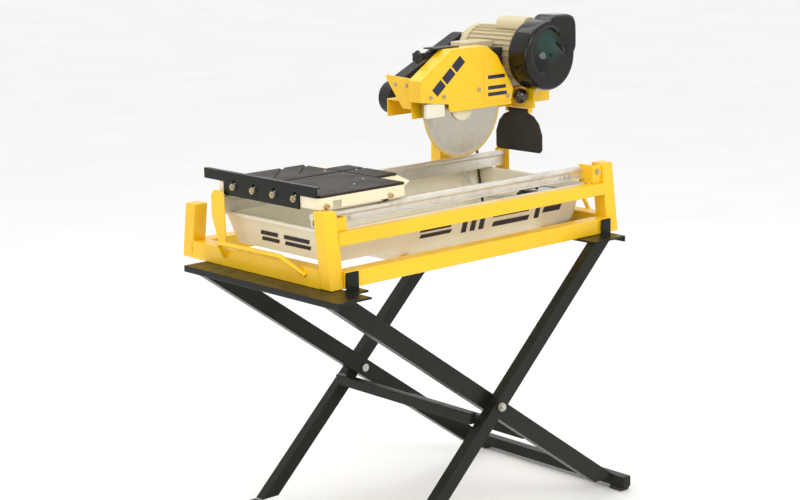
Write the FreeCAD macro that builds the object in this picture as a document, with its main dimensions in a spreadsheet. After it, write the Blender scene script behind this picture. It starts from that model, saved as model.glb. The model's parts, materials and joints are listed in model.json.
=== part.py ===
import FreeCAD, Part
import Sketcher
import math
import os
import re

# Tile cutter: a wet saw with a tilting head on a yellow frame, a sliding cart, a water pan,
# and a folding scissor stand. Millimetres, +Z up. Every piece is drawn from the saw's own corner
# (x from the left end, y from the operator's side, z from the underside of the frame), and its
# Placement then moves it so that the origin is on the floor under the middle of the whole machine.

doc = FreeCAD.newDocument("tile_cutter")

# ---------------------------------------------------------------- driving dimensions
SIZES = {
    # frame of the saw
    "frame_length": 910, "frame_width": 546, "frame_tube": 37, "frame_wall": 2.5,
    "near_post_height": 168, "far_post_height": 129, "post_lean": 20, "end_beam_height": 42,
    "sheet_steel": 3, "upper_rail_z": 92, "upper_rail_height": 29, "upper_rail_depth": 24,
    # aluminium guide rails
    "rail_height": 40, "rail_bead_radius": 8, "rail_web": 6, "rail_foot": 3, "rail_foot_width": 28,
    "near_rail_lift": 10, "near_rail_y": 66, "far_rail_y": 394, "bracket_reach": 67, "cart_near_y": 47,
    # carry handles
    "handle_rod_radius": 5.5, "handle_reach": 26, "handle_bend": 12,
    # water pan
    "pan_end_gap": 38, "pan_near_y": 54, "pan_far_y": 462, "pan_rim_z": 119, "pan_floor_z": 22,
    "pan_shelf_z": 42, "pan_step_x": 205, "pan_wall": 4, "pan_lip": 11, "pan_lip_thickness": 5,
    "pan_draft": 18, "drain_radius": 13, "bearer_width": 25, "bearer_thickness": 4,
    "pump_x": 745, "pump_y": 112, "pump_length": 92, "pump_width": 74, "pump_height": 68, "pump_lid": 7,
    "spout_radius": 8, "spout_length": 9, "hose_radius": 5, "lead_radius": 3.5,
    # cart
    "roller_radius": 14, "roller_width": 12, "axle_radius": 3.5, "rail_gap": 0.3, "running_gap": 0.06,
    "cart_left": 12, "cart_length": 243, "cart_rise": 18.7, "cart_plate": 4, "cart_skirt": 4,
    "skirt_height": 25, "nose_length": 71, "nose_corner": 103, "mat_thickness": 6,
    "slot_width": 9, "slot_start": 34, "groove_width": 8,
    "fence_thickness": 4, "fence_height": 18, "fence_length": 406, "plate_height": 44,
    "plate_length": 274, "fence_bolt_radius": 4, "fence_bolt_pitch": 73,
    # blade and its spindle
    "blade_radius": 127, "blade_thickness": 2.4, "blade_y": 262, "arbor_x": 636, "arbor_z": 314,
    "arbor_radius": 8, "flange_radius": 37, "flange_thickness": 7, "arbor_far_y": 514,
    # head
    "guard_gap": 12, "guard_front": 25, "guard_back": 30, "guard_side": 21, "guard_wall": 2.5,
    "arm_left_x": 496, "arm_right_x": 966, "arm_near_y": 285, "arm_far_y": 375, "arm_low_z": 292,
    "arm_height": 43, "arm_sheet": 3, "arm_back_y": 470, "housing_radius": 20,
    "pivot_x": 812, "pivot_z": 270, "pivot_radius": 8, "pivot_boss": 15,
    "column_left_x": 759, "column_right_x": 838, "column_depth": 36, "column_top_z": 246,
    "belt_near_y": 482, "belt_guard_depth": 40, "belt_guard_radius": 41, "belt_thickness": 6,
    "belt_width": 13, "arbor_pulley_radius": 32, "motor_pulley_radius": 27,
    "motor_x": 860, "motor_z": 420, "motor_radius": 67, "motor_near_y": 236, "motor_far_y": 446,
    "motor_shaft_radius": 9.5, "fan_cover_radius": 84, "fan_cover_depth": 62, "fan_radius": 62,
    "duct_reach": 92, "knob_radius": 19, "flap_from_end": 127,
    # folding stand
    "stand_height": 650, "scissor_x": 446, "scissor_drop": 337, "leg_a_angle": 35.5, "leg_b_angle": 43.9,
    "leg_a_width": 42, "leg_b_width": 34, "leg_tube": 26, "leg_wall": 2, "leg_gap": 1,
    "stand_near_y": -55, "stand_width": 533, "top_plate": 5, "top_flange": 10,
    "left_plate_x": -60, "left_plate_width": 93, "left_plate_near_y": -95,
    "right_plate_x": 764, "right_plate_width": 110, "tab_width": 34, "tab_height": 37,
    "foot_height": 9, "bar_tube": 28, "bolt_radius": 6,
}

sheet = doc.addObject("Spreadsheet::Sheet", "dims")
for row, (alias, value) in enumerate(SIZES.items(), start=1):
    sheet.set("A%d" % row, alias)
    sheet.set("B%d" % row, str(value))
    sheet.setAlias("B%d" % row, alias)
doc.recompute()

ALIAS = re.compile(r"\b(" + "|".join(sorted(SIZES, key=len, reverse=True)) + r")\b")


def formula(words):
    """Turn words such as 'frame_length - 2*frame_tube' into an expression on the sheet."""
    return ALIAS.sub(r"dims.\1", str(words))


def value(words):
    """The number that a formula gives with the sheet's present values."""
    return float(sheet.evalExpression(formula(words)))


# ---------------------------------------------------------------- building blocks
placed_at = {}
nodes = []


def put(shape_object, x, y, z):
    placed_at[shape_object.Name] = (str(x), str(y), str(z))
    for letter, words in zip("xyz", (x, y, z)):
        shape_object.setExpression("Placement.Base." + letter, formula(words))
    return shape_object


def block(name, x, y, z, length, width, height):
    solid = doc.addObject("Part::Box", name)
    for size, words in (("Length", length), ("Width", width), ("Height", height)):
        solid.setExpression(size, formula(words))
    return put(solid, x, y, z)


TURNS = {
    "x": FreeCAD.Rotation(FreeCAD.Vector(0, 1, 0), 90),
    "y": FreeCAD.Rotation(FreeCAD.Vector(1, 0, 0), -90),
    "z": FreeCAD.Rotation(),
}


def rod(name, x, y, z, along, radius, length):
    """A cylinder that starts at x, y, z and runs along +x, +y or +z."""
    solid = doc.addObject("Part::Cylinder", name)
    solid.setExpression("Radius", formula(radius))
    solid.setExpression("Height", formula(length))
    solid.Placement = FreeCAD.Placement(FreeCAD.Vector(), TURNS[along])
    return put(solid, x, y, z)


def prism(name, plane, corners, depth, x=0, y=0, z=0):
    """A padded sketch: corners are formula pairs in the plane, depth runs along the third axis."""
    body = doc.addObject("PartDesign::Body", name)
    sketch = body.newObject("Sketcher::SketchObject", name + "_outline")
    base = [feature for feature in body.Origin.OriginFeatures if feature.Role == plane][0]
    sketch.AttachmentSupport = (base, [""])
    sketch.MapMode = "FlatFace"
    spots = [FreeCAD.Vector(value(a), value(b), 0) for a, b in corners]
    count = len(spots)
    for index in range(count):
        sketch.addGeometry(Part.LineSegment(spots[index], spots[(index + 1) % count]), False)
    for index in range(count):
        sketch.addConstraint(Sketcher.Constraint("Coincident", index, 2, (index + 1) % count, 1))
    for index, (a, b) in enumerate(corners):
        for kind, words, spot in (("DistanceX", a, spots[index].x), ("DistanceY", b, spots[index].y)):
            number = sketch.addConstraint(Sketcher.Constraint(kind, -1, 1, index, 1, spot))
            sketch.setExpression("Constraints[%d]" % number, formula(words))
    pad = body.newObject("PartDesign::Pad", name + "_pad")
    pad.Profile = sketch
    pad.Reversed = plane == "XZ_Plane"
    pad.setExpression("Length", formula(depth))
    return put(body, x, y, z)


def cut(name, base, *tools):
    for number, tool in enumerate(tools):
        result = doc.addObject("Part::Cut", "%s_cut%d" % (name, number))
        result.Base = base
        result.Tool = tool
        base = result
    placed_at[base.Name] = ("0", "0", "0")
    return base


def fuse(name, *shapes):
    result = doc.addObject("Part::MultiFuse", name + "_fuse")
    result.Shapes = list(shapes)
    placed_at[result.Name] = ("0", "0", "0")
    return result


def group(name, *shapes):
    result = doc.addObject("Part::Compound", name + "_group")
    result.Links = list(shapes)
    placed_at[result.Name] = ("0", "0", "0")
    return result


def shaped(name, shape):
    """A piece whose shape is worked out here from the sheet's values."""
    feature = doc.addObject("Part::Feature", name + "_shape")
    feature.Shape = shape
    placed_at[feature.Name] = ("0", "0", "0")
    return feature


def node(label, shape_object):
    """Name the finished piece and move it from the saw's corner to the floor origin."""
    x, y, z = placed_at[shape_object.Name]
    put(shape_object, x + " - (left_plate_x + arm_right_x)/2",
        y + " - (left_plate_near_y + frame_width)/2", z + " + stand_height")
    shape_object.Label = label
    nodes.append(shape_object)


def tube_block(name, x, y, z, length, width, height, wall):
    """A closed rectangular tube."""
    inner = [("%s + %s" % (start, wall), "%s - 2*%s" % (size, wall))
             for start, size in ((x, length), (y, width), (z, height))]
    core = block(name + "_core", *[part[0] for part in inner], *[part[1] for part in inner])
    return cut(name, block(name + "_skin", x, y, z, length, width, height), core)


def vector(x, y, z):
    return FreeCAD.Vector(value(x), value(y), value(z))


def bent_path(points, bend=None):
    """Straight runs joined by tangent arcs; without a bend each arc takes 0.45 of its shorter run."""
    edges = []
    start = points[0]
    radii = []
    for before, corner, after in zip(points, points[1:], points[2:]):
        back = before - corner
        ahead = after - corner
        half_turn = (math.pi - back.getAngle(ahead)) / 2
        radius = bend or 0.45 * min(back.Length, ahead.Length) / math.tan(half_turn)
        reach = radius * math.tan(half_turn)
        back.normalize()
        ahead.normalize()
        enter = corner + back * reach
        leave = corner + ahead * reach
        middle = back + ahead
        middle.normalize()
        depth = radius / math.cos(half_turn) - radius
        edges.append(Part.LineSegment(start, enter).toShape())
        edges.append(Part.Arc(enter, corner + middle * depth, leave).toShape())
        start = leave
        radii.append(radius)
    edges.append(Part.LineSegment(start, points[-1]).toShape())
    return Part.Wire(edges), radii


def round_tube(points, radius, bend=None):
    path, radii = bent_path(points, bend)
    ring = Part.Wire([Part.makeCircle(radius, points[0], points[1] - points[0])])
    solid = path.makePipeShell([ring], True, True)
    expected = math.pi * radius * radius * path.Length
    if abs(solid.Volume / expected - 1) > 0.02:
        raise RuntimeError("a swept tube has the wrong volume")
    return solid, radii


def loop_solid(first, first_radius, second, second_radius, near_y, depth):
    """The band that wraps two circles in the X-Z plane, as one solid along +y."""
    reach = second - first
    ahead = FreeCAD.Vector(reach)
    ahead.normalize()
    side = FreeCAD.Vector(-ahead.z, 0, ahead.x)
    lean = math.acos((first_radius - second_radius) / reach.Length)

    def rim(centre, radius, sign):
        return centre + (ahead * math.cos(lean) + side * (sign * math.sin(lean))) * radius

    far_arc = Part.Arc(rim(second, second_radius, 1), second + ahead * second_radius,
                       rim(second, second_radius, -1))
    near_arc = Part.Arc(rim(first, first_radius, -1), first - ahead * first_radius,
                        rim(first, first_radius, 1))
    top = Part.LineSegment(rim(first, first_radius, 1), rim(second, second_radius, 1))
    bottom = Part.LineSegment(rim(second, second_radius, -1), rim(first, first_radius, -1))
    outline = Part.Wire([top.toShape(), far_arc.toShape(), bottom.toShape(), near_arc.toShape()])
    outline.translate(FreeCAD.Vector(0, near_y, 0))
    return Part.Face(outline).extrude(FreeCAD.Vector(0, depth, 0))


# ---------------------------------------------------------------- folding stand
def leg_prism(name, angle, width, top_z, foot_z, y, tube, side):
    """One straight leg: side is -1 when its top is left of the scissor bolt, 1 when right."""
    half = "(%s)/(2*sin(%s))" % (width, angle)

    def across(height):
        return "scissor_x + %d*(%s + scissor_drop)/tan(%s)" % (side, height, angle)

    corners = [(across(top_z) + " - " + half, top_z), (across(top_z) + " + " + half, top_z),
               (across(foot_z) + " + " + half, foot_z), (across(foot_z) + " - " + half, foot_z)]
    return prism(name, "XZ_Plane", corners, tube, y=y)


LEG_TOP = "(0 - top_plate)"
LEG_FOOT = "(foot_height + bar_tube - stand_height)"
NEAR_B = "stand_near_y"
NEAR_A = "(stand_near_y + leg_tube + leg_gap)"
FAR_B = "(stand_near_y + stand_width - leg_tube)"
FAR_A = "(stand_near_y + stand_width - 2*leg_tube - leg_gap)"


def leg(name, letter, y, side, hole_gap):
    angle = "leg_%s_angle" % letter
    width = "leg_%s_width" % letter
    outer = leg_prism(name + "_skin", angle, width, LEG_TOP, LEG_FOOT, y, "leg_tube", side)
    inner = leg_prism(name + "_core", angle, width + " - 2*leg_wall", LEG_TOP + " - leg_wall",
                      LEG_FOOT + " + leg_wall", y + " + leg_wall", "leg_tube - 2*leg_wall", side)
    boss = rod(name + "_boss", "scissor_x", y, "0 - scissor_drop", "y", "2*bolt_radius", "leg_tube")
    hole = rod(name + "_hole", "scissor_x", y + " - 1", "0 - scissor_drop", "y",
               "bolt_radius" + hole_gap, "leg_tube + 2")
    return cut(name, fuse(name, cut(name + "_tube", outer, inner), boss), hole)


def foot_x(letter, side):
    angle = "leg_%s_angle" % letter
    return "(scissor_x + %d*(stand_height - scissor_drop)/tan(%s))" % (side, angle)


node("stand_legs_a", group("legs_a", leg("leg_a_near", "a", NEAR_A, -1, ""),
                           leg("leg_a_far", "a", FAR_A, -1, "")))
node("stand_legs_b", group("legs_b", leg("leg_b_near", "b", NEAR_B, 1, " + running_gap"),
                           leg("leg_b_far", "b", FAR_B, 1, " + running_gap")))


def cross_bars(name, letter, side, brace_x, brace_z, brace_y, brace_width):
    """The middle brace and the foot bar that tie a pair of legs together."""
    brace = tube_block(name + "_brace", brace_x, brace_y, brace_z, "20", brace_width, "26", "leg_wall")
    middle = foot_x(letter, side)
    bar = tube_block(name + "_bar", middle + " - bar_tube/2", "stand_near_y",
                     "foot_height - stand_height", "bar_tube", "stand_width", "bar_tube", "leg_wall")
    feet = []
    for end, y in (("near", "stand_near_y + 6"), ("far", "stand_near_y + stand_width - 46")):
        feet.append(block("%s_foot_%s" % (name, end), middle + " - bar_tube/2 - 2", y,
                          "0 - stand_height", "bar_tube + 4", "40", "foot_height"))
    node("stand_bars_" + letter, group(name + "_bars", brace, bar))
    node("stand_feet_" + letter, group(name + "_feet", *feet))


cross_bars("a", "a", 1, "scissor_x + 126", "0 - scissor_drop - 120", NEAR_A + " + leg_tube",
           "stand_width - 4*leg_tube - 2*leg_gap")
cross_bars("b", "b", -1, "scissor_x - 72", "0 - scissor_drop - 34", NEAR_B + " + leg_tube",
           "stand_width - 2*leg_tube")


def top_member(name, x, width, near_y, far_y, flange_x, tab_x, tab_width):
    """The flat bar that carries one end of the saw, with its edge flange and its retaining tab."""
    length = "%s - (%s)" % (far_y, near_y)
    plate = block(name + "_plate", x, near_y, "0 - top_plate", width, length, "top_plate")
    flange = block(name + "_flange", flange_x, near_y, "0 - top_flange - top_plate", "4", length,
                   "top_flange")
    tab = block(name + "_tab", tab_x, "0 - 9", "0 - top_plate", tab_width, "5", "tab_height + top_plate")
    return fuse(name, plate, flange, tab)


node("stand_left_top", fuse(
    "left_top", top_member("left_top", "left_plate_x", "left_plate_width", "left_plate_near_y",
                           "(%s + leg_tube + 6)" % FAR_A, "left_plate_x", "frame_tube", "tab_width"),
    block("left_tab_foot", "left_plate_x + left_plate_width - 1", "0 - 40", "0 - top_plate",
          "frame_tube + tab_width - left_plate_x - left_plate_width + 1", "36", "top_plate")))
node("stand_right_top", top_member("right_top", "right_plate_x", "right_plate_width", "stand_near_y",
                                   "(stand_near_y + stand_width)",
                                   "right_plate_x + right_plate_width - 4",
                                   "right_plate_x + right_plate_width + 3 - tab_width", "tab_width - 4"))


def scissor_bolt(name, y, length):
    shank = rod(name + "_shank", "scissor_x", y, "0 - scissor_drop", "y", "bolt_radius", length)
    head = rod(name + "_head", "scissor_x", y + " - 5.3", "0 - scissor_drop", "y", "1.7*bolt_radius", "5")
    neck = rod(name + "_neck", "scissor_x", y + " - 0.4", "0 - scissor_drop", "y", "bolt_radius", "0.5")
    nut = rod(name + "_nut", "scissor_x", "%s + %s + 0.3" % (y, length), "0 - scissor_drop", "y",
              "1.7*bolt_radius", "6")
    tip = rod(name + "_tip", "scissor_x", "%s + %s - 0.1" % (y, length), "0 - scissor_drop", "y",
              "bolt_radius", "0.5")
    return fuse(name, shank, neck, head, nut, tip)


node("scissor_bolts", group("bolts", scissor_bolt("bolt_near", NEAR_B, "2*leg_tube + leg_gap"),
                            scissor_bolt("bolt_far", FAR_A, "2*leg_tube + leg_gap")))

# ---------------------------------------------------------------- yellow frame
RAIL_LENGTH = "frame_length - 2*frame_tube"
FAR_TUBE_Y = "(frame_width - frame_tube)"
node("base_rail_near", tube_block("rail_base_near", "frame_tube", "0", "0", RAIL_LENGTH, "frame_tube",
                                  "frame_tube", "frame_wall"))
node("base_rail_far", tube_block("rail_base_far", "frame_tube", FAR_TUBE_Y, "0", RAIL_LENGTH,
                                 "frame_tube", "frame_tube", "frame_wall"))


def post(name, x, far, height):
    """A corner post that leans inwards, closed at its top by a welded cap."""
    def outline(inset):
        low, high = "%s" % inset, "%s - %s" % (height, inset)
        lean = "post_lean*(%s)/(%s)"
        near, back = [], []
        for level in (low, high):
            slide = lean % (level, height)
            near.append(("%s + %s" % (slide, inset), level))
            back.append(("%s + frame_tube - %s" % (slide, inset), level))
        ring = [near[0], back[0], back[1], near[1]]
        if far:
            ring = [("frame_width - (%s)" % words, level) for words, level in ring]
        return ring
    skin = prism(name + "_skin", "YZ_Plane", outline("0"), "frame_tube", x=x)
    core = prism(name + "_core", "YZ_Plane", outline("frame_wall"), "frame_tube - 2*frame_wall",
                 x=x + " + frame_wall")
    return skin, cut(name, skin, core)


BEAM_X = {"left": "0", "right": "(frame_length - frame_tube)"}
post_skins = {"left": [], "right": []}
for side, far, height in (("near", False, "near_post_height"), ("far", True, "far_post_height")):
    for end, x in BEAM_X.items():
        skin, post_tube = post("post_%s_%s" % (side, end), x, far, height)
        post_skins[end].append(skin)
        node("post_%s_%s" % (side, end), post_tube)

beams = []
for end, x in BEAM_X.items():
    beam = tube_block("end_beam_" + end, x, "frame_tube", "0", "frame_tube", "frame_width - 2*frame_tube",
                      "end_beam_height", "frame_wall")
    beams.append(cut("end_beam_" + end, beam, *post_skins[end]))
for number, x in enumerate(("pan_step_x + 60", "column_left_x - bearer_width - 14")):
    beams.append(block("pan_bearer_%d" % number, x, "frame_tube", "pan_floor_z - bearer_thickness",
                       "bearer_width", "frame_width - 2*frame_tube", "bearer_thickness"))
node("end_beams", group("beams", *beams))

UPPER_Y = "post_lean*upper_rail_z/near_post_height"
RAIL_FOOT_Z = "(upper_rail_z + upper_rail_height)"
upper_face = block("upper_face", "frame_tube", UPPER_Y, "upper_rail_z", RAIL_LENGTH, "sheet_steel",
                   "upper_rail_height")
upper_flange = block("upper_flange", "frame_tube", UPPER_Y, RAIL_FOOT_Z + " - sheet_steel",
                     RAIL_LENGTH, "upper_rail_depth", "sheet_steel")
node("upper_rail_near", fuse("upper_rail", upper_face, upper_flange))


RAIL_TOP = "(upper_rail_z + upper_rail_height + rail_height)"


def guide_rail(name, start, end, y, low, shelf_y, shelf_width):
    """An aluminium extrusion: a rounded bead on a web, with a shelf along its lower edge."""
    length = "%s - (%s)" % (end, start)
    shelf = block(name + "_shelf", start, shelf_y, low, length, shelf_width, "rail_foot")
    web = block(name + "_web", start, y + " - rail_web/2", low, length, "rail_web",
                RAIL_TOP + " - rail_bead_radius - " + low)
    bead = rod(name + "_bead", start, y, RAIL_TOP + " - rail_bead_radius", "x", "rail_bead_radius", length)
    return fuse(name, shelf, web, bead)


NEAR_RAIL_END = "(frame_length - bracket_reach)"
NEAR_RAIL_LOW = "(" + RAIL_FOOT_Z + " + near_rail_lift)"
NEAR_SHELF_Y = "(near_rail_y - 13)"
node("guide_rail_near", guide_rail("rail_near", "sheet_steel + 2", NEAR_RAIL_END, "near_rail_y",
                                   NEAR_RAIL_LOW, NEAR_SHELF_Y, "13"))
node("guide_rail_far", guide_rail("rail_far", "sheet_steel", "(frame_length - sheet_steel)", "far_rail_y",
                                  RAIL_FOOT_Z, "far_rail_y - rail_web/2", "rail_foot_width"))

BRACKET_Y = "(post_lean + 3)"
brackets = []
for end, x, cheek_x, height, reach in (
        ("left", "frame_tube", "bracket_reach - sheet_steel", "30", NEAR_SHELF_Y),
        ("right", NEAR_RAIL_END, NEAR_RAIL_END, "(near_post_height - upper_rail_z - upper_rail_height - 2)",
         "(near_rail_y + 4)")):
    face = block("near_bracket_face_" + end, x, BRACKET_Y, RAIL_FOOT_Z, "bracket_reach - frame_tube",
                 "sheet_steel", height)
    cheek = block("near_bracket_cheek_" + end, cheek_x, BRACKET_Y + " + sheet_steel/2", RAIL_FOOT_Z,
                  "sheet_steel", reach + " - " + BRACKET_Y + " - sheet_steel/2", height)
    brackets.append(fuse("near_bracket_" + end, face, cheek))
for end, x in (("left", "0"), ("right", "frame_length - sheet_steel")):
    outline = [("374", "end_beam_height"), ("398", "end_beam_height"), ("424", "112"), ("424", "160"),
               ("414", "172"), ("384", "175"), ("374", "166")]
    brackets.append(prism("far_bracket_" + end, "YZ_Plane", outline, "sheet_steel", x=x))
node("rail_brackets", group("brackets", *brackets))


def carry_handle(name, side):
    """A bent rod welded to an end beam; side is -1 at the left end and 1 at the right."""
    weld_x = "0" if side < 0 else "frame_length"
    bar_x = "%s + %d*handle_reach" % (weld_x, side)
    points = [vector(weld_x, "86", "24"), vector(bar_x, "140", "62"), vector(bar_x, "366", "60"),
              vector(weld_x, "376", "24")]
    solid, radii = round_tube(points, value("handle_rod_radius"), value("handle_bend"))
    return solid


handles = Part.makeCompound([carry_handle("left", -1), carry_handle("right", 1)])
beam_zone = Part.makeBox(value("frame_length"), value("frame_width"), value("end_beam_height"))
node("carry_handles", shaped("handles", handles.cut(beam_zone)))

# ---------------------------------------------------------------- head column
COLUMN_Y = "(frame_width - frame_tube - column_depth)"
column_box = tube_block("column_box", "column_left_x", COLUMN_Y, "0",
                        "column_right_x - column_left_x", "column_depth", "column_top_z", "frame_wall")
pivot_tube = rod("pivot_tube", "pivot_x", COLUMN_Y, "pivot_z", "y", "pivot_boss", "column_depth")
pivot_post = block("pivot_post", "pivot_x - pivot_boss", COLUMN_Y, "column_top_z", "2*pivot_boss",
                   "column_depth", "pivot_z - column_top_z")
pivot_bore = rod("pivot_bore", "pivot_x", COLUMN_Y + " - 1", "pivot_z", "y",
                 "pivot_radius + running_gap", "column_depth + 2")
node("head_column", cut("column", fuse("column", column_box, pivot_tube, pivot_post), pivot_bore))

# ---------------------------------------------------------------- water pan and pump
PAN_TOP = "pan_rim_z"
PAN_LENGTH = "(frame_length - 2*pan_end_gap)"


def pan_tub(start, inset, low):
    """A tub from start to the right-hand end, whose four walls lean in from rim to floor."""
    rings = []
    for level in (PAN_TOP, low):
        draft = "pan_draft*(pan_rim_z - (%s))/(pan_rim_z - pan_floor_z)" % level
        near = value("pan_near_y + %s + %s" % (draft, inset))
        far = value("pan_far_y - pan_lip - %s - %s" % (draft, inset))
        left = value("%s + %s + %s" % (start, draft, inset))
        right = value("frame_length - pan_end_gap - pan_lip - %s - %s" % (draft, inset))
        corners = [(left, near), (right, near), (right, far), (left, far), (left, near)]
        rings.append(Part.makePolygon([FreeCAD.Vector(x, y, value(level)) for x, y in corners]))
    return Part.makeLoft(rings, True, True)


PAN_LEFT = "(pan_end_gap + pan_lip)"
FLOOR_TOP = "(pan_floor_z + pan_wall)"
SHELF_TOP = "(pan_shelf_z + pan_wall)"
lip = Part.makeBox(value(PAN_LENGTH), value("pan_far_y - pan_near_y"), value("pan_lip_thickness"),
                   vector("pan_end_gap", "pan_near_y", "pan_rim_z - pan_lip_thickness"))
DRAIN = ("(pan_step_x + pan_draft + 460)", "(pan_near_y + 300)")
drain_hole = Part.makeCylinder(value("drain_radius"), value("pan_wall + 6"),
                               vector(*DRAIN, "pan_floor_z - 2"))
pan_shape = pan_tub(PAN_LEFT, "0", "pan_shelf_z").fuse([pan_tub("pan_step_x", "0", "pan_floor_z"), lip])
for hollow in (pan_tub(PAN_LEFT, "pan_wall", SHELF_TOP), pan_tub("pan_step_x", "pan_wall", FLOOR_TOP),
               drain_hole):
    pan_shape = pan_shape.cut(hollow)
node("water_pan", shaped("pan", pan_shape.removeSplitter()))
plug = fuse("plug", rod("plug_body", *DRAIN, "pan_floor_z - 6", "z", "drain_radius", "pan_wall + 12"),
            rod("plug_head", *DRAIN, FLOOR_TOP, "z", "drain_radius + 5", "5"))
node("drain_plug", plug)

PUMP_TOP = "(" + FLOOR_TOP + " + pump_height)"
pump_box = block("pump_box", "pump_x", "pump_y", FLOOR_TOP, "pump_length", "pump_width", "pump_height")
pump_lid = block("pump_lid", "pump_x + 4", "pump_y + 4", PUMP_TOP, "pump_length - 8", "pump_width - 8",
                 "pump_lid")
SPOUT = ("(pump_x + 55)", "(pump_y + pump_width)", "(" + FLOOR_TOP + " + 44)")
pump_spout = rod("pump_spout", *SPOUT, "y", "spout_radius", "spout_length")
node("water_pump", fuse("pump", pump_box, pump_lid, pump_spout))

spout_end = vector(SPOUT[0], SPOUT[1] + " + spout_length", SPOUT[2])
hose_rise = [vector("803", "280", "64"), vector("805", "328", "59"), vector("802", "372", "64"),
             vector("799", "408", "82"), vector("806", "430", "114"), vector("821", "443", "150"),
             vector("825", "454", "188"), vector("820", "458", "228"), vector("812.5", "458", "268.5")]
hose_lower_points = [spout_end, spout_end + FreeCAD.Vector(0, 37, 0)] + hose_rise
hose_lower_shape, lower_radii = round_tube(hose_lower_points, value("hose_radius"))
print("lower hose bend radii", [round(r) for r in lower_radii])
node("hose_lower", shaped("hose_low", hose_lower_shape))

lid_exit = vector("pump_x + 35", "pump_y + 38", PUMP_TOP + " + pump_lid")
lead_points = [lid_exit + FreeCAD.Vector(*step) for step in (
    (0, 0, 0), (0, 0, 19.5), (-14, 0, 33), (-33.5, 0, 33), (-47.5, 0, 19), (-47.5, 2, -8), (-45, 11, -35))]
lead_points += [vector("728", "178", "46"), vector("724", "204", "35"), vector("732", "242", "31.5"),
                vector("750", "284", "31"), vector("775", "326", "32"), vector("802", "364", "38"),
                vector("830", "396", "56"), vector("845", "418", "86"), vector("851", "431", "120"),
                vector("857", "438", "146"), vector("858", "441", "170"), vector("858", "443", "196"),
                vector("858", "457.5", "212"), vector("858", COLUMN_Y + " + 5", "212")]
lead_shape, lead_radii = round_tube(lead_points, value("lead_radius"))
print("pump lead bend radii", [round(r) for r in lead_radii])
socket_box = block("socket_box", "column_right_x", COLUMN_Y + " + 5", "198", "30", "26", "34")
node("pump_lead", group("lead_and_socket", shaped("lead", lead_shape), socket_box))

# ---------------------------------------------------------------- cart
CART_Y = "cart_near_y"
CART_FAR_Y = "(far_rail_y + roller_width/2 + 1 + cart_skirt)"
CART_WIDTH = "(%s - %s)" % (CART_FAR_Y, CART_Y)
AXLE_Z = "(%s + roller_radius + rail_gap)" % RAIL_TOP
CAST_TOP = "(%s + cart_rise)" % AXLE_Z
CART_RIGHT = "(cart_left + cart_length)"
ROLLERS_X = ("cart_left + 19", "cart_left + cart_length - 43")

plan = [("cart_left", CART_Y), (CART_RIGHT, CART_Y),
        (CART_RIGHT + " + nose_length*0.62", CART_Y + " + nose_corner*0.32"),
        (CART_RIGHT + " + nose_length", CART_Y + " + nose_corner"),
        (CART_RIGHT + " + nose_length", CART_FAR_Y + " - nose_corner*0.8"),
        (CART_RIGHT + " + nose_length*0.62", CART_FAR_Y + " - nose_corner*0.26"),
        (CART_RIGHT, CART_FAR_Y), ("cart_left", CART_FAR_Y)]
cart_plate = prism("cart_plate_top", "XY_Plane", plan, "cart_plate", z=CAST_TOP + " - cart_plate")
SKIRT_Z = "%s - skirt_height" % CAST_TOP
SKIRT_UP = "skirt_height - cart_plate/2"
skirt_near = block("skirt_near", "cart_left", CART_Y, SKIRT_Z, "cart_length", "cart_skirt", SKIRT_UP)
skirt_far = block("skirt_far", "cart_left", CART_FAR_Y + " - cart_skirt", SKIRT_Z, "cart_length",
                  "cart_skirt", SKIRT_UP)
skirt_left = block("skirt_left", "cart_left", CART_Y, CAST_TOP + " - 14", "cart_skirt", CART_WIDTH,
                   "12")
rib_near = block("rib_near", "cart_left + 4", "blade_y - 40", CAST_TOP + " - 14", "cart_length - 10",
                 "6", "12")
rib_far = block("rib_far", "cart_left + 4", "blade_y + 34", CAST_TOP + " - 14", "cart_length - 10",
                "6", "12")
tabs = [block("tab_" + end, "cart_left", y, CAST_TOP + " - skirt_height", "cart_skirt", "62", "18")
        for end, y in (("near", CART_Y), ("far", CART_FAR_Y + " - 62"))]
notch = block("skirt_notch", "cart_left + 38", CART_Y + " - 1", SKIRT_Z + " - 1", "24",
              "cart_skirt + 2", "17")
blade_slot = block("blade_slot", "cart_left + slot_start", "blade_y - slot_width/2", CAST_TOP + " - 30",
                   "cart_length + nose_length", "slot_width", "60")
axle_holes = [rod("axle_hole_%d" % n, x, CART_Y + " - 1", AXLE_Z, "y", "axle_radius",
                  CART_WIDTH + " + 2") for n, x in enumerate(ROLLERS_X)]
cart_solid = fuse("cart_table", cart_plate, skirt_near, skirt_far, skirt_left, rib_near, rib_far, *tabs)
node("cart_table", cut("cart_table", cart_solid, notch, blade_slot, *axle_holes))

mat = block("mat_blank", "cart_left + 4", CART_Y, CAST_TOP, "cart_length - 4", CART_WIDTH,
            "mat_thickness")
nose_mat = block("nose_blank", CART_RIGHT + " + 4", CART_Y + " + nose_corner", CAST_TOP,
                 "nose_length - 7", "172", "mat_thickness")
mat_slot = block("mat_slot", "cart_left + slot_start", "blade_y - slot_width/2", CAST_TOP + " - 30",
                 "cart_length + nose_length", "slot_width", "60")
grooves = []
for number, offset in enumerate(("cart_length*0.36", "cart_length*0.66")):
    groove = doc.addObject("Part::Box", "groove_%d" % number)
    groove.setExpression("Length", formula("cart_length*0.62"))
    groove.setExpression("Width", formula("groove_width"))
    groove.setExpression("Height", formula("mat_thickness"))
    slant = FreeCAD.Rotation(FreeCAD.Vector(0, 0, 1), 45)
    groove.Placement = FreeCAD.Placement(FreeCAD.Vector(), slant)
    grooves.append(put(groove, "cart_left + " + offset, CART_FAR_Y + " - 100", CAST_TOP + " + mat_thickness/2"))
node("cart_mats", group("mats", cut("mat", mat, mat_slot, *grooves), cut("nose_mat", nose_mat, mat_slot)))

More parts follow.
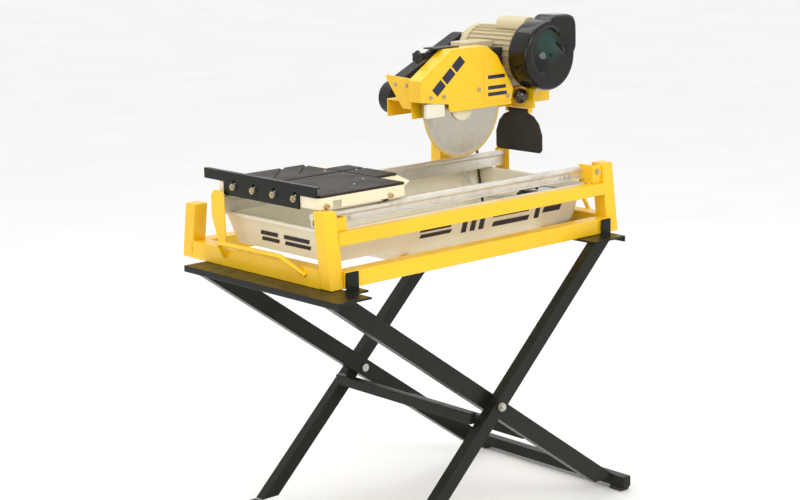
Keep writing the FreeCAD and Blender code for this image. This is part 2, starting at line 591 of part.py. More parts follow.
FENCE_X = "(cart_left - fence_thickness)"
FENCE_MID = "((%s + %s)/2 + 29)" % (CART_Y, CART_FAR_Y)
bar = block("fence_bar", FENCE_X, FENCE_MID + " - fence_length/2", CAST_TOP + " + 0.3",
            "fence_thickness", "fence_length", "fence_height + mat_thickness - 0.3")
cap = block("fence_cap", FENCE_X, FENCE_MID + " - fence_length/2",
            CAST_TOP + " + mat_thickness + fence_height - 3", "12", "fence_length", "3")
plate = block("fence_plate", FENCE_X, FENCE_MID + " - plate_length/2 - 7",
              CAST_TOP + " + mat_thickness + 8 - plate_height", "fence_thickness", "plate_length",
              "plate_height")
BOLT_Y = ["%s - 20 + %g*fence_bolt_pitch" % (FENCE_MID, step) for step in (-1.5, -0.5, 0.5, 1.5)]
fence_slots = [block("fence_slot_%d" % n, FENCE_X + " - 1", y + " - fence_bolt_radius - 0.3",
                     CAST_TOP + " - 14", "fence_thickness + 2", "2*fence_bolt_radius + 0.6", "20")
               for n, y in enumerate(BOLT_Y)]
node("fence", cut("fence", fuse("fence", bar, cap, plate), *fence_slots))
fence_bolts = []
for n, y in enumerate(BOLT_Y):
    shank = rod("fence_bolt_shank_%d" % n, FENCE_X + " - 1", y, CAST_TOP + " - 8", "x",
                "fence_bolt_radius", "fence_thickness + 1")
    dome = rod("fence_bolt_head_%d" % n, FENCE_X + " - 7", y, CAST_TOP + " - 8", "x",
               "1.9*fence_bolt_radius", "6.8")
    fence_bolts.append(fuse("fence_bolt_%d" % n, shank, dome))

axles = []
for row, rail_y, head_y in (("near", "near_rail_y", -1), ("far", "far_rail_y", 1)):
    for number, x in enumerate(ROLLERS_X):
        name = "axle_%s_%d" % (row, number)
        if head_y < 0:
            start, head_at = CART_Y, CART_Y + " - 4"
        else:
            start, head_at = rail_y + " - roller_width/2 - 3", CART_FAR_Y
        length = "abs(%s - %s) + roller_width/2 + 3 + cart_skirt*%d" % (rail_y, start, head_y > 0)
        shank = rod(name, x, start, AXLE_Z, "y", "axle_radius", length)
        head = rod(name + "_head", x, head_at, AXLE_Z, "y", "1.8*axle_radius", "4")
        keeper_y = rail_y + (" + roller_width/2 + 0.5" if head_y < 0 else " - roller_width/2 - 3")
        keeper = rod(name + "_keeper", x, keeper_y, AXLE_Z, "y", "1.8*axle_radius", "2.5")
        axles.append(fuse(name, shank, head, keeper))
node("cart_fasteners", group("cart_fasteners", *fence_bolts, *axles))
for row, rail_y in (("near", "near_rail_y"), ("far", "far_rail_y")):
    for end, x in zip(("left", "right"), ROLLERS_X):
        name = "roller_%s_%s" % (row, end)
        disc = rod(name + "_disc", x, rail_y + " - roller_width/2", AXLE_Z, "y", "roller_radius",
                   "roller_width")
        bore = rod(name + "_bore", x, rail_y + " - roller_width", AXLE_Z, "y",
                   "axle_radius + running_gap", "2*roller_width")
        node(name, cut(name, disc, bore))

# ---------------------------------------------------------------- blade and spindle
BLADE_NEAR = "(blade_y - blade_thickness/2)"
BLADE_FAR = "(blade_y + blade_thickness/2)"
disc = rod("blade_disc", "arbor_x", BLADE_NEAR, "arbor_z", "y", "blade_radius", "blade_thickness")
hole = rod("blade_hole", "arbor_x", BLADE_NEAR + " - 1", "arbor_z", "y", "arbor_radius",
           "blade_thickness + 2")
node("blade", cut("blade", disc, hole))
SHAFT_Y = "(%s - flange_thickness - 6)" % BLADE_NEAR
node("arbor_shaft", rod("shaft", "arbor_x", SHAFT_Y, "arbor_z", "y", "arbor_radius",
                        "arbor_far_y - " + SHAFT_Y))


def ring(name, x, y, z, outer, inner, width):
    solid = rod(name + "_outer", x, y, z, "y", outer, width)
    opening = rod(name + "_inner", x, y + " - 1", z, "y", inner, width + " + 2")
    return cut(name, solid, opening)


flanges = [ring("flange_near", "arbor_x", BLADE_NEAR + " - flange_thickness", "arbor_z",
                "flange_radius", "arbor_radius", "flange_thickness"),
           ring("flange_far", "arbor_x", BLADE_FAR, "arbor_z", "flange_radius", "arbor_radius",
                "flange_thickness"),
           ring("arbor_nut", "arbor_x", BLADE_NEAR + " - flange_thickness - 5.5", "arbor_z",
                "1.6*arbor_radius", "arbor_radius", "5")]
node("blade_flanges", group("flanges", *flanges))
PULLEY_Y = "(belt_near_y + 12)"
node("arbor_pulley", ring("pulley", "arbor_x", PULLEY_Y, "arbor_z", "arbor_pulley_radius",
                          "arbor_radius", "belt_width + 2"))

# ---------------------------------------------------------------- saw head
GUARD_LEFT = "(arbor_x - blade_radius - guard_front)"
GUARD_RIGHT = "(arbor_x + blade_radius + guard_back)"
GUARD_TOP = "(arbor_z + blade_radius + guard_gap)"
GUARD_LOW = "(arbor_z - 6)"
guard_outline = [(GUARD_LEFT, "arbor_z + 21"), ("arbor_x - 61", "arbor_z + 9"),
                 ("arbor_x - 61", GUARD_LOW), (GUARD_RIGHT + " - 9", GUARD_LOW),
                 (GUARD_RIGHT, "arbor_z + 28"), ("arbor_x + 103", "arbor_z + blade_radius - 14"),
                 ("arbor_x + 68", GUARD_TOP), ("arbor_x - 50", GUARD_TOP),
                 (GUARD_LEFT, "arbor_z + 72")]
guard_body = prism("guard_body", "XZ_Plane", guard_outline, "2*guard_side",
                   y="blade_y - guard_side")
room_outline = [(GUARD_LEFT + " + guard_wall", GUARD_LOW + " - 10"),
                (GUARD_RIGHT + " - 9 - guard_wall", GUARD_LOW + " - 10"),
                (GUARD_RIGHT + " - 9 - guard_wall", GUARD_LOW),
                (GUARD_RIGHT + " - guard_wall", "arbor_z + 28"),
                ("arbor_x + 103 - guard_wall", "arbor_z + blade_radius - 14 - guard_wall/2"),
                ("arbor_x + 68 - guard_wall/2", GUARD_TOP + " - guard_wall"),
                ("arbor_x - 50 + guard_wall/2", GUARD_TOP + " - guard_wall"),
                (GUARD_LEFT + " + guard_wall", "arbor_z + 72 - guard_wall/2")]
guard_room = prism("guard_room", "XZ_Plane", room_outline, "2*guard_side - 2*guard_wall",
                   y="blade_y - guard_side + guard_wall")
guard_hole = rod("guard_hole", "arbor_x", "blade_y + 5", "arbor_z", "y", "housing_radius + 8",
                 "guard_side")
node("blade_guard", cut("guard", guard_body, guard_room, guard_hole))

ARM_TOP = "(arm_low_z + arm_height)"
ARM_LENGTH = "(arm_right_x - arm_left_x)"
arm_top = block("arm_top", "arm_left_x", "arm_near_y", ARM_TOP + " - arm_sheet", ARM_LENGTH,
                "arm_far_y - arm_near_y", "arm_sheet")
arm_near = block("arm_near", "arm_left_x", "arm_near_y", "arm_low_z", ARM_LENGTH, "arm_sheet",
                 "arm_height")
arm_far = block("arm_far", "arm_left_x", "arm_far_y - arm_sheet", "arm_low_z", ARM_LENGTH, "arm_sheet",
                "arm_height")
apron_outline = [("arm_near_y", "arm_low_z + 24"), ("arm_near_y + 31", "arm_low_z + 24"),
                 ("arm_near_y + 88", "arm_low_z + 92"), ("arm_near_y + 88", "arm_low_z + 101"),
                 ("arm_near_y", "arm_low_z + 97")]
apron = prism("apron", "YZ_Plane", apron_outline, "arm_sheet", x="arm_left_x - arm_sheet")
guard_strut = block("guard_strut", "arbor_x - 40", "blade_y + guard_side", ARM_TOP + " - 20", "80",
                    "arm_near_y - blade_y - guard_side", "20")
lugs = []
for name, y in (("lug_near", COLUMN_Y + " - 1.5 - 5"), ("lug_far", "frame_width - frame_tube + 1.5")):
    lug = block(name, "pivot_x - 18", y, "pivot_z - 16", "36", "5", ARM_TOP + " - pivot_z + 16")
    lugs.append(lug)
arm_back = block("arm_back", "pivot_x - 52", "arm_far_y - arm_sheet", ARM_TOP + " - arm_sheet", "180",
                 "arm_back_y - arm_far_y + arm_sheet", "arm_sheet")
lug_bridge = block("lug_bridge", "pivot_x - 18", "arm_back_y - 4", ARM_TOP + " - 8", "36",
                   "frame_width - frame_tube + 6.5 - arm_back_y + 4", "8")
pivot_pass = rod("pivot_pass", "pivot_x", COLUMN_Y + " - 20", "pivot_z", "y", "pivot_radius", "80")
shaft_pass = rod("shaft_pass", "arbor_x", "arm_near_y - 10", "arbor_z", "y", "housing_radius",
                 "arm_far_y - arm_near_y + 20")
arm = fuse("arm", arm_top, arm_near, arm_far, apron, guard_strut, *lugs, arm_back, lug_bridge)
node("head_arm", cut("arm", arm, pivot_pass, shaft_pass))
PIN_Y = "(%s - 6.5)" % COLUMN_Y
pin_shank = rod("pin_shank", "pivot_x", PIN_Y, "pivot_z", "y", "pivot_radius", "column_depth + 13")
pin_head = rod("pin_head", "pivot_x", "frame_width - frame_tube + 6.5", "pivot_z", "y",
               "1.6*pivot_radius", "7")
node("pivot_pin", fuse("pin", pin_shank, pin_head))

node("bearing_housing", ring("housing", "arbor_x", "arm_near_y - 6", "arbor_z", "housing_radius",
                             "arbor_radius + running_gap", "belt_near_y - arm_near_y + 6"))

arbor_centre = vector("arbor_x", "0", "arbor_z")
motor_centre = vector("motor_x", "0", "motor_z")
casing_radius = value("belt_guard_radius")
wall = value("guard_wall")
casing = loop_solid(arbor_centre, casing_radius, motor_centre, casing_radius, value("belt_near_y"),
                    value("belt_guard_depth"))
casing_room = loop_solid(arbor_centre, casing_radius - wall, motor_centre, casing_radius - wall,
                         value("belt_near_y") + wall, value("belt_guard_depth") - 2 * wall)
casing = casing.cut(casing_room)
hole_start = FreeCAD.Vector(0, value("belt_near_y") - wall, 0)
for centre, radius in ((arbor_centre, value("arbor_radius + 2")),
                       (motor_centre, value("motor_shaft_radius + 2"))):
    shaft_hole = Part.makeCylinder(radius, 3 * wall, centre + hole_start, FreeCAD.Vector(0, 1, 0))
    casing = casing.cut(shaft_hole)
node("belt_guard", shaped("casing", casing))
belt_inside = loop_solid(arbor_centre, value("arbor_pulley_radius") + 0.3, motor_centre,
                         value("motor_pulley_radius") + 0.3, value(PULLEY_Y), value("belt_width") + 2)
belt_outside = loop_solid(arbor_centre, value("arbor_pulley_radius + belt_thickness - 0.7"),
                          motor_centre, value("motor_pulley_radius + belt_thickness - 0.7"),
                          value(PULLEY_Y) + 1, value("belt_width"))
node("drive_belt", shaped("belt", belt_outside.cut(belt_inside)))

# ---------------------------------------------------------------- motor
MOTOR_LENGTH = "(motor_far_y - motor_near_y)"
motor_skin = rod("motor_skin", "motor_x", "motor_near_y", "motor_z", "y", "motor_radius", MOTOR_LENGTH)
motor_room = rod("motor_room", "motor_x", "motor_near_y + 8", "motor_z", "y", "motor_radius - 9",
                 MOTOR_LENGTH + " - 16")
motor_bore = rod("motor_bore", "motor_x", "motor_near_y - 2", "motor_z", "y",
                 "motor_shaft_radius + running_gap", MOTOR_LENGTH + " + 4")
motor_foot = block("motor_foot", "motor_x - 58", "motor_near_y + 60", ARM_TOP, "116", "110",
                   "motor_z - motor_radius - %s + 12" % ARM_TOP)
motor_snout = rod("motor_snout", "motor_x", "motor_far_y", "motor_z", "y", "26",
                  "belt_near_y - motor_far_y")
motor_rim = rod("motor_rim", "motor_x", "motor_near_y", "motor_z", "y", "fan_cover_radius - 4", "4")
terminal_box = block("terminal_box", "motor_x - 152", "motor_near_y + 84", "motor_z + 10", "97", "56", "26")
node("motor_body", cut("motor", fuse("motor", motor_skin, motor_foot, motor_snout, motor_rim, terminal_box),
                       motor_room,
                       rod("snout_bore", "motor_x", "motor_near_y - 2", "motor_z", "y",
                           "motor_shaft_radius + running_gap", MOTOR_LENGTH + " + 40")))
shaft = rod("rotor_shaft", "motor_x", "motor_near_y - 34", "motor_z", "y", "motor_shaft_radius",
            "belt_near_y + belt_guard_depth - 8 - motor_near_y + 34")
rotor = rod("rotor_core", "motor_x", "motor_near_y + 40", "motor_z", "y", "motor_radius*0.6",
            MOTOR_LENGTH + " - 80")
drive = rod("drive_pulley", "motor_x", PULLEY_Y, "motor_z", "y", "motor_pulley_radius", "belt_width + 2")
node("motor_rotor", fuse("rotor", shaft, rotor, drive))
blades = [block("fan_blade_%d" % n, "0 - 2", "0", "10", "4", "18", "fan_radius - 12")
          for n in range(7)]
for n, paddle in enumerate(blades):
    paddle.Placement = FreeCAD.Placement(FreeCAD.Vector(), FreeCAD.Rotation(FreeCAD.Vector(0, 1, 0),
                                                                           n * 360.0 / 7))
    turn = n * 360.0 / 7
    put(paddle, "motor_x + 10*sin(%g) - 2*cos(%g)" % (turn, turn), "motor_near_y - 30",
        "motor_z + 10*cos(%g) + 2*sin(%g)" % (turn, turn))
    paddle.setExpression("Height", formula("fan_radius - 12"))
hub = rod("fan_hub", "motor_x", "motor_near_y - 32", "motor_z", "y", "20", "22")
hub_bore = rod("fan_bore", "motor_x", "motor_near_y - 40", "motor_z", "y", "motor_shaft_radius", "60")
node("cooling_fan", cut("fan", fuse("fan", hub, *blades), hub_bore))

COVER_Y = "(motor_near_y + 4 - fan_cover_depth)"
cover_skin = rod("cover_skin", "motor_x", COVER_Y, "motor_z", "y", "fan_cover_radius", "fan_cover_depth")
cover_room = rod("cover_room", "motor_x", COVER_Y + " + 4", "motor_z", "y", "fan_cover_radius - 4",
                 "fan_cover_depth")
duct_skin = block("duct_skin", "motor_x - 12", COVER_Y + " + 4", "motor_z + 44", "duct_reach + 12",
                  "fan_cover_depth - 14", "fan_cover_radius - 44 + 12")
duct_room = block("duct_room", "motor_x - 8", COVER_Y + " + 8", "motor_z + 48", "duct_reach + 20",
                  "fan_cover_depth - 22", "fan_cover_radius - 48 + 8")
node("fan_cover", cut("cover", fuse("cover", cover_skin, duct_skin), cover_room, duct_room))

capacitor = rod("capacitor", "motor_x", "motor_near_y + 14", "motor_z + motor_radius - 2", "y", "26", "94")
cap_trim = rod("capacitor_trim", "motor_x", "motor_near_y", "motor_z", "y", "motor_radius", MOTOR_LENGTH)
node("capacitor_cover", cut("capacitor", capacitor, cap_trim))
switch_shell = block("switch_shell", "motor_x - 100", "motor_near_y + 44", "motor_z - 24", "44", "40",
                     "44")
box_trim = rod("box_trim", "motor_x", "motor_near_y", "motor_z", "y", "motor_radius", MOTOR_LENGTH)
rocker_well = block("rocker_well", "motor_x - 101", "motor_near_y + 54", "motor_z - 12", "10", "20", "26")
node("switch_box", cut("switch_box", switch_shell, box_trim, rocker_well))
rocker_cap = block("rocker_cap", "motor_x - 103", "motor_near_y + 55", "motor_z - 11", "7", "18", "24")
rocker_axle = rod("rocker_axle", "motor_x - 96", "motor_near_y + 54", "motor_z + 1", "y", "3", "20")
node("switch_rocker", fuse("rocker", rocker_cap, rocker_axle))

# ---------------------------------------------------------------- small pieces on the head
node("spray_shoe", block("shoe", "arbor_x - 131", "blade_y - guard_side + guard_wall", "arbor_z - 20",
                         "60", "12", "36"))
VALVE = (GUARD_TOP + " - 17", "blade_y + 38")
valve_barrel = rod("valve_barrel", "arbor_x - 91", VALVE[1], VALVE[0], "x", "9", "50")
valve_foot = block("valve_foot", "arbor_x - 76", "blade_y + 10", GUARD_TOP, "80", "40", "3")
valve_neck = block("valve_neck", "arbor_x - 59", VALVE[1] + " - 6", VALVE[0], "14", "12", "18")
node("valve_body", fuse("valve", valve_barrel, valve_foot, valve_neck))
star_hub = rod("star_hub", "arbor_x - 108", VALVE[1], VALVE[0], "x", "7", "16.7")
star_rim = rod("star_rim", "arbor_x - 113", VALVE[1], VALVE[0], "x", "15", "12")
node("valve_handle", fuse("star", star_hub, star_rim))

valve_end = vector("arbor_x - 41", VALVE[1], VALVE[0])
hose_upper_points = [vector("811.9", "458", "271.7"), vector("804", "457", "304"),
                     vector("771", "446", "319"), vector("735", "424", "322"),
                     vector("708", "394", "342"), vector("686", "362", "378"),
                     vector("654", "326", "420"), valve_end + FreeCAD.Vector(27, 0, 0), valve_end]
hose_upper_shape, upper_radii = round_tube(hose_upper_points, value("hose_radius"))
print("upper hose bend radii", [round(r) for r in upper_radii])
node("hose_upper", shaped("hose_up", hose_upper_shape))

FLAP_X = "(arm_right_x - flap_from_end)"
KNOB = ("(blade_y - 20)", "(arbor_z + 6)")
knob_stud = rod("knob_stud", FLAP_X + " - 22", *KNOB, "x", "5", "34")
knob_ball = doc.addObject("Part::Sphere", "knob_ball")
knob_ball.setExpression("Radius", formula("knob_radius"))
put(knob_ball, FLAP_X + " - 21", *KNOB)
washer = rod("knob_washer", FLAP_X + " + 5.3", *KNOB, "x", "knob_radius - 4", "5")
node("lock_knob", fuse("knob", knob_stud, knob_ball, washer))

HINGE_X = FLAP_X + " + 2.5"
HINGE_Z = "(arbor_z - 33)"
FLAP_MID = "(blade_y + 9)"
bracket_plate = block("knob_plate", FLAP_X, "blade_y - 46", "arbor_z - 24", "5",
                      "arm_near_y - blade_y + 46", "46")
stud_hole = rod("stud_hole", FLAP_X + " - 6", *KNOB, "x", "5 + running_gap", "20")
hanger = block("flap_hanger", FLAP_X + " - 3", FLAP_MID + " - 42", "arbor_z - 27", "11", "84", "4")
ears = [block("flap_ear_" + end, FLAP_X + " - 3", y, "arbor_z - 38", "11", "5", "12")
        for end, y in (("near", FLAP_MID + " - 42"), ("far", FLAP_MID + " + 37"))]
pin = rod("flap_pin", HINGE_X, FLAP_MID + " - 41", HINGE_Z, "y", "2.5", "82")
node("flap_bracket", cut("flap_bracket", fuse("flap_bracket", bracket_plate, hanger, *ears, pin),
                         stud_hole))

FLAP_LOW = "(arbor_z - 136)"
flap_outline = [(FLAP_MID + " - 72", FLAP_LOW), (FLAP_MID + " + 72", FLAP_LOW),
                (FLAP_MID + " + 79", FLAP_LOW + " + 7"), (FLAP_MID + " + 79", FLAP_LOW + " + 44"),
                (FLAP_MID + " + 68", FLAP_LOW + " + 72"), (FLAP_MID + " + 50", FLAP_LOW + " + 90"),
                (FLAP_MID + " + 34", FLAP_LOW + " + 96"), (FLAP_MID + " + 33", FLAP_LOW + " + 101"),
                (FLAP_MID + " - 33", FLAP_LOW + " + 101"), (FLAP_MID + " - 34", FLAP_LOW + " + 96"),
                (FLAP_MID + " - 50", FLAP_LOW + " + 90"), (FLAP_MID + " - 68", FLAP_LOW + " + 72"),
                (FLAP_MID + " - 79", FLAP_LOW + " + 44"), (FLAP_MID + " - 79", FLAP_LOW + " + 7")]
flap_sheet = prism("flap", "YZ_Plane", flap_outline, "5", x=FLAP_X)
flap_barrel = rod("flap_barrel", HINGE_X, FLAP_MID + " - 34", HINGE_Z, "y", "4.5", "68")
flap_bore = rod("flap_bore", HINGE_X, FLAP_MID + " - 60", HINGE_Z, "y", "2.5 + running_gap", "120")
node("splash_flap", cut("flap", fuse("flap_piece", flap_sheet, flap_barrel), flap_bore))

# ---------------------------------------------------------------- frame fasteners
frame_bolts = [rod("bracket_bolt", "frame_length - bracket_reach + 14", BRACKET_Y + " - 4",
                   "near_post_height - 18", "y", "5", "4")]
frame_bolts += [rod("rail_screw_%d" % n, x, "near_rail_y - rail_web/2 - 3", NEAR_RAIL_LOW + " + 8.5", "y",
                    "4", "3")
                for n, x in enumerate(("bracket_reach + 40", "frame_length - bracket_reach - 40"))]
node("frame_bolts", group("frame_bolts", *frame_bolts))

# ---------------------------------------------------------------- check and write
doc.recompute()
os.makedirs("parts", exist_ok=True)
faults = [item.Name for item in doc.Objects if "Invalid" in item.State or "Error" in item.State]
if faults:
    raise RuntimeError("these objects failed: " + ", ".join(faults))
for piece in nodes:
    if piece.Shape.isNull() or not piece.Shape.isValid() or not piece.Shape.Solids:
        raise RuntimeError("bad shape: " + piece.Label)
for piece in nodes:
    piece.Shape.exportStep("parts/%s.step" % piece.Label)
print(len(nodes), "nodes written")
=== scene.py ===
import json
import math

import bmesh
import bpy
from mathutils import Matrix, Vector, noise

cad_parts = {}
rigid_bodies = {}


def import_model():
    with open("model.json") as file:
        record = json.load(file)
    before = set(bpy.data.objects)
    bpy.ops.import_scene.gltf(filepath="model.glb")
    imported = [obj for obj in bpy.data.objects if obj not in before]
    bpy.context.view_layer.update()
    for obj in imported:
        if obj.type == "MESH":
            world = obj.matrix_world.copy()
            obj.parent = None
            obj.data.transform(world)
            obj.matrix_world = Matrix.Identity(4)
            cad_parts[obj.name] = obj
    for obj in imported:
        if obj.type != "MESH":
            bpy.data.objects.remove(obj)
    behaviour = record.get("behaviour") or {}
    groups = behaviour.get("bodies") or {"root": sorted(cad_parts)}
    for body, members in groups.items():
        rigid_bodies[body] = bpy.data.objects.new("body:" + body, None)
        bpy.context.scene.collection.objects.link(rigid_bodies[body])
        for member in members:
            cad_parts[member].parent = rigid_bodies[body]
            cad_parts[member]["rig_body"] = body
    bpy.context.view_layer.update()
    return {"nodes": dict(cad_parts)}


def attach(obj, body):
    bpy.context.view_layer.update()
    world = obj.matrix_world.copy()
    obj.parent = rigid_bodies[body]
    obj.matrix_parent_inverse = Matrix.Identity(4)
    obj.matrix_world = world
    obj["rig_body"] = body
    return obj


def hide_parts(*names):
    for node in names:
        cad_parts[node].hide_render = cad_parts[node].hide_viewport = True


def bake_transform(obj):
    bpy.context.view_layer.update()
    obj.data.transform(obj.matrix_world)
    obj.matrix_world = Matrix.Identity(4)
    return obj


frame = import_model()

nodes = frame["nodes"]

# Saw coordinates are millimetres from the frame's near left bottom corner; the row frame is metres
# from the floor under the middle of the machine.
CORNER = Vector((-0.453, -0.2255, 0.650))


# Places that several pieces share, in saw millimetres.
ARBOR_X, ARBOR_Z, BLADE_Y = 636, 314, 262
MOTOR_X, MOTOR_Z = 860, 420
KNOB = (818, 242, 320)
VALVE_Y, VALVE_Z = 300, 436
ROLLER_Z = 175.3
PAN_LEFT, PAN_RIGHT, PAN_NEAR, PAN_FAR = 38, 872, 54, 462


def at(x, y, z):
    """A point given in saw millimetres, in the row frame."""
    return CORNER + Vector((x, y, z)) / 1000


# ---------------------------------------------------------------- materials
class Value:
    """A number somewhere in a material; sums written with it become nodes."""

    def __init__(self, shader, socket):
        self.shader = shader
        self.socket = socket

    def _sum(self, operation, *others):
        return self.shader.node("ShaderNodeMath", {"operation": operation}, *others)

    def __add__(self, other):
        return self._sum("ADD", self, other)

    def __radd__(self, other):
        return self._sum("ADD", other, self)

    def __sub__(self, other):
        return self._sum("SUBTRACT", self, other)

    def __rsub__(self, other):
        return self._sum("SUBTRACT", other, self)

    def __mul__(self, other):
        return self._sum("MULTIPLY", self, other)

    def __rmul__(self, other):
        return self._sum("MULTIPLY", other, self)

    def __pow__(self, other):
        return self._sum("POWER", self, other)

    def __gt__(self, other):
        return self._sum("GREATER_THAN", self, other)

    def sine(self):
        return self._sum("SINE", self)

    def spread(self, low, painted_reflection_spot, to_low=0.0, to_high=1.0):
        """This value's span from low to high, stretched to another span and kept inside it."""
        return self.shader.node("ShaderNodeMapRange", {"clamp": True},
                                self, low, painted_reflection_spot, to_low, to_high)


class Shader:
    """One procedural material, built from the piece's own coordinates."""

    def __init__(self, name, roughness=0.5, metallic=0.0, **fixed):
        self.material = bpy.data.materials.new(name)
        self.material.use_nodes = True
        self.tree = self.material.node_tree
        self.surface = self.tree.nodes["Principled BSDF"]
        self.surface.inputs["Roughness"].default_value = roughness
        self.surface.inputs["Metallic"].default_value = metallic
        for socket, amount in fixed.items():
            self.surface.inputs[socket.replace("_", " ")].default_value = amount
        self.place = self.node("ShaderNodeTexCoord", {}, output="Object")
        self.x, self.y, self.z = self.parts(self.place)

    def node(self, kind, settings, *wires, output=0, **named):
        made = self.tree.nodes.new(kind)
        for key, setting in settings.items():
            setattr(made, key, setting)
        for key, wire in [*enumerate(wires), *named.items()]:
            socket = made.inputs[key]
            if isinstance(wire, Value):
                self.tree.links.new(wire.socket, socket)
            else:
                socket.default_value = wire
        return Value(self, made.outputs[output])

    def parts(self, vector):
        split = self.tree.nodes.new("ShaderNodeSeparateXYZ")
        self.tree.links.new(vector.socket, split.inputs[0])
        return [Value(self, socket) for socket in split.outputs]

    def facing(self, output="Normal"):
        return self.parts(self.node("ShaderNodeNewGeometry", {}, output=output))

    def stretched(self, sx, sy, sz):
        return self.node("ShaderNodeVectorMath", {"operation": "MULTIPLY"}, self.place, (sx, sy, sz))

    def clouds(self, scale, detail=3.0, roughness=0.55, place=None):
        return self.node("ShaderNodeTexNoise", {}, Vector=place or self.place, Scale=scale,
                         Detail=detail, Roughness=roughness)

    def cells(self, scale, place=None):
        return self.node("ShaderNodeTexVoronoi", {}, Vector=place or self.place, Scale=scale)

    def blend(self, share, first, second):
        """Colours mixed by a share: 0 keeps the first."""
        made = self.tree.nodes.new("ShaderNodeMix")
        made.data_type = "RGBA"
        colour_inputs = [socket for socket in made.inputs if socket.type == "RGBA"]
        pairs = [(made.inputs[0], share), (colour_inputs[0], first), (colour_inputs[1], second)]
        for socket, wire in pairs:
            if isinstance(wire, Value):
                self.tree.links.new(wire.socket, socket)
            else:
                socket.default_value = (*wire, 1.0) if isinstance(wire, tuple) else wire
        return Value(self, [socket for socket in made.outputs if socket.type == "RGBA"][0])

    def feed(self, **wires):
        for socket, wire in wires.items():
            self.tree.links.new(wire.socket, self.surface.inputs[socket.replace("_", " ")])
        return self

    def bumpy(self, height, distance, strength=0.5):
        relief = self.node("ShaderNodeBump", {}, Strength=strength, Distance=distance, Height=height,
                           output="Normal")
        return self.feed(Normal=relief)


def painted(name, colour, shade, roughness=0.3, coat=0.35, grime=(0.16, 0.12, 0.07), dirt=0.35,
            peel=0.00012):
    """Sprayed enamel: slow shifts of tone, orange peel, hairline scratches and settled dust."""
    look = Shader(name, roughness, Coat_Weight=coat, Coat_Roughness=0.12)
    tone = look.clouds(5.0, 4.0).spread(0.35, 0.7)
    up = look.facing()[2].spread(0.4, 1.0)
    scratch = look.clouds(26.0, 2.0, place=look.stretched(9.0, 9.0, 0.7))
    scratch = scratch.spread(0.67, 0.71)
    dust = look.clouds(38.0, 6.0, 0.7).spread(0.5, 0.8) * (up * 0.75 + 0.25)
    base = look.blend(tone * 0.6, colour, shade)
    base = look.blend(scratch * 0.22, base, tuple(channel * 0.55 for channel in colour))
    base = look.blend(dust * dirt, base, grime)
    look.feed(Base_Color=base, Roughness=tone * 0.08 + dust * 0.25 + scratch * 0.12 + roughness)
    return look.bumpy(look.clouds(900.0, 2.0) + scratch * -0.5, peel, 0.35)


def metal(name, colour, shade, roughness, grain, metallic=1.0, stain=0.35, depth=0.00006):
    """Bare metal with a grain along the axis whose stretch is smallest."""
    look = Shader(name, roughness, metallic)
    lines = look.clouds(60.0, 3.0, place=look.stretched(*grain))
    spots = look.clouds(22.0, 5.0, 0.65).spread(0.5, 0.75)
    base = look.blend(lines.spread(0.3, 0.7), colour, shade)
    base = look.blend(spots * stain, base, (0.2, 0.16, 0.11))
    look.feed(Base_Color=base, Roughness=lines.spread(0.3, 0.7) * 0.14 + spots * 0.2 + roughness)
    return look.bumpy(lines, depth, 0.4)


def moulded(name, colour, shade, roughness=0.5, speckle=420.0, depth=0.00012, dirt=0.2, **fixed):
    """Moulded plastic or rubber: fine grain, scuffs and dust in the grain."""
    look = Shader(name, roughness, **fixed)
    tone = look.clouds(7.0, 4.0).spread(0.3, 0.72)
    scuff = look.clouds(55.0, 3.0, place=look.stretched(3.0, 0.8, 2.0)).spread(0.6, 0.75)
    dust = look.clouds(24.0, 6.0, 0.7).spread(0.52, 0.8) * look.facing()[2].spread(-0.2, 1.0)
    base = look.blend(tone, colour, shade)
    base = look.blend(dust * dirt, base, (0.32, 0.28, 0.22))
    look.feed(Base_Color=base, Roughness=scuff * 0.15 + dust * 0.12 + roughness)
    return look.bumpy(look.cells(speckle) + scuff * 0.4, depth, 0.3)


yellow = painted("yellow_enamel", (0.92, 0.56, 0.002), (0.84, 0.46, 0.002), 0.3, 0.2, dirt=0.12)
black = painted("black_stand_paint", (0.006, 0.009, 0.006), (0.014, 0.013, 0.008), 0.28, 0.08,
                grime=(0.1, 0.08, 0.05), dirt=0.2)
motor_paint = painted("motor_enamel", (0.58, 0.5, 0.31), (0.48, 0.41, 0.25), 0.4, 0.15, dirt=0.25)
casting = painted("cream_casting", (0.85, 0.77, 0.54), (0.74, 0.65, 0.44), 0.42, 0.1, dirt=0.3,
                  peel=0.0004)
aluminium = metal("extruded_aluminium", (0.82, 0.8, 0.74), (0.66, 0.64, 0.58), 0.3, (0.4, 12.0, 12.0),
                  0.75)
zinc = metal("zinc_plate", (0.62, 0.6, 0.55), (0.45, 0.43, 0.38), 0.32, (4.0, 4.0, 4.0), 0.9)
brass = metal("brass", (0.72, 0.5, 0.2), (0.55, 0.36, 0.13), 0.3, (4.0, 4.0, 4.0))
cream = moulded("cream_pan_plastic", (0.83, 0.8, 0.66), (0.76, 0.71, 0.55), 0.42, dirt=0.35)
dark = moulded("dark_plastic", (0.018, 0.018, 0.019), (0.03, 0.029, 0.027), 0.42)
rubber = moulded("black_rubber", (0.03, 0.027, 0.023), (0.045, 0.04, 0.034), 0.72, 300.0, 0.0003, 0.3)
ink = moulded("dark_blue_ink", (0.006, 0.008, 0.03), (0.012, 0.013, 0.04), 0.35, 700.0, 0.00002, 0.1)
# Pale grey for the slab that paints a highlight on the pump lid.
lid_highlight_grey = moulded("pale_lid_highlight", (0.62, 0.66, 0.66), (0.5, 0.54, 0.55), 0.4, 500.0, 0.00003, 0.2)
hose_plastic = moulded("clear_hose", (0.78, 0.8, 0.72), (0.62, 0.66, 0.58), 0.15, 500.0, 0.00002, 0.1,
                       Transmission_Weight=0.45, IOR=1.42)


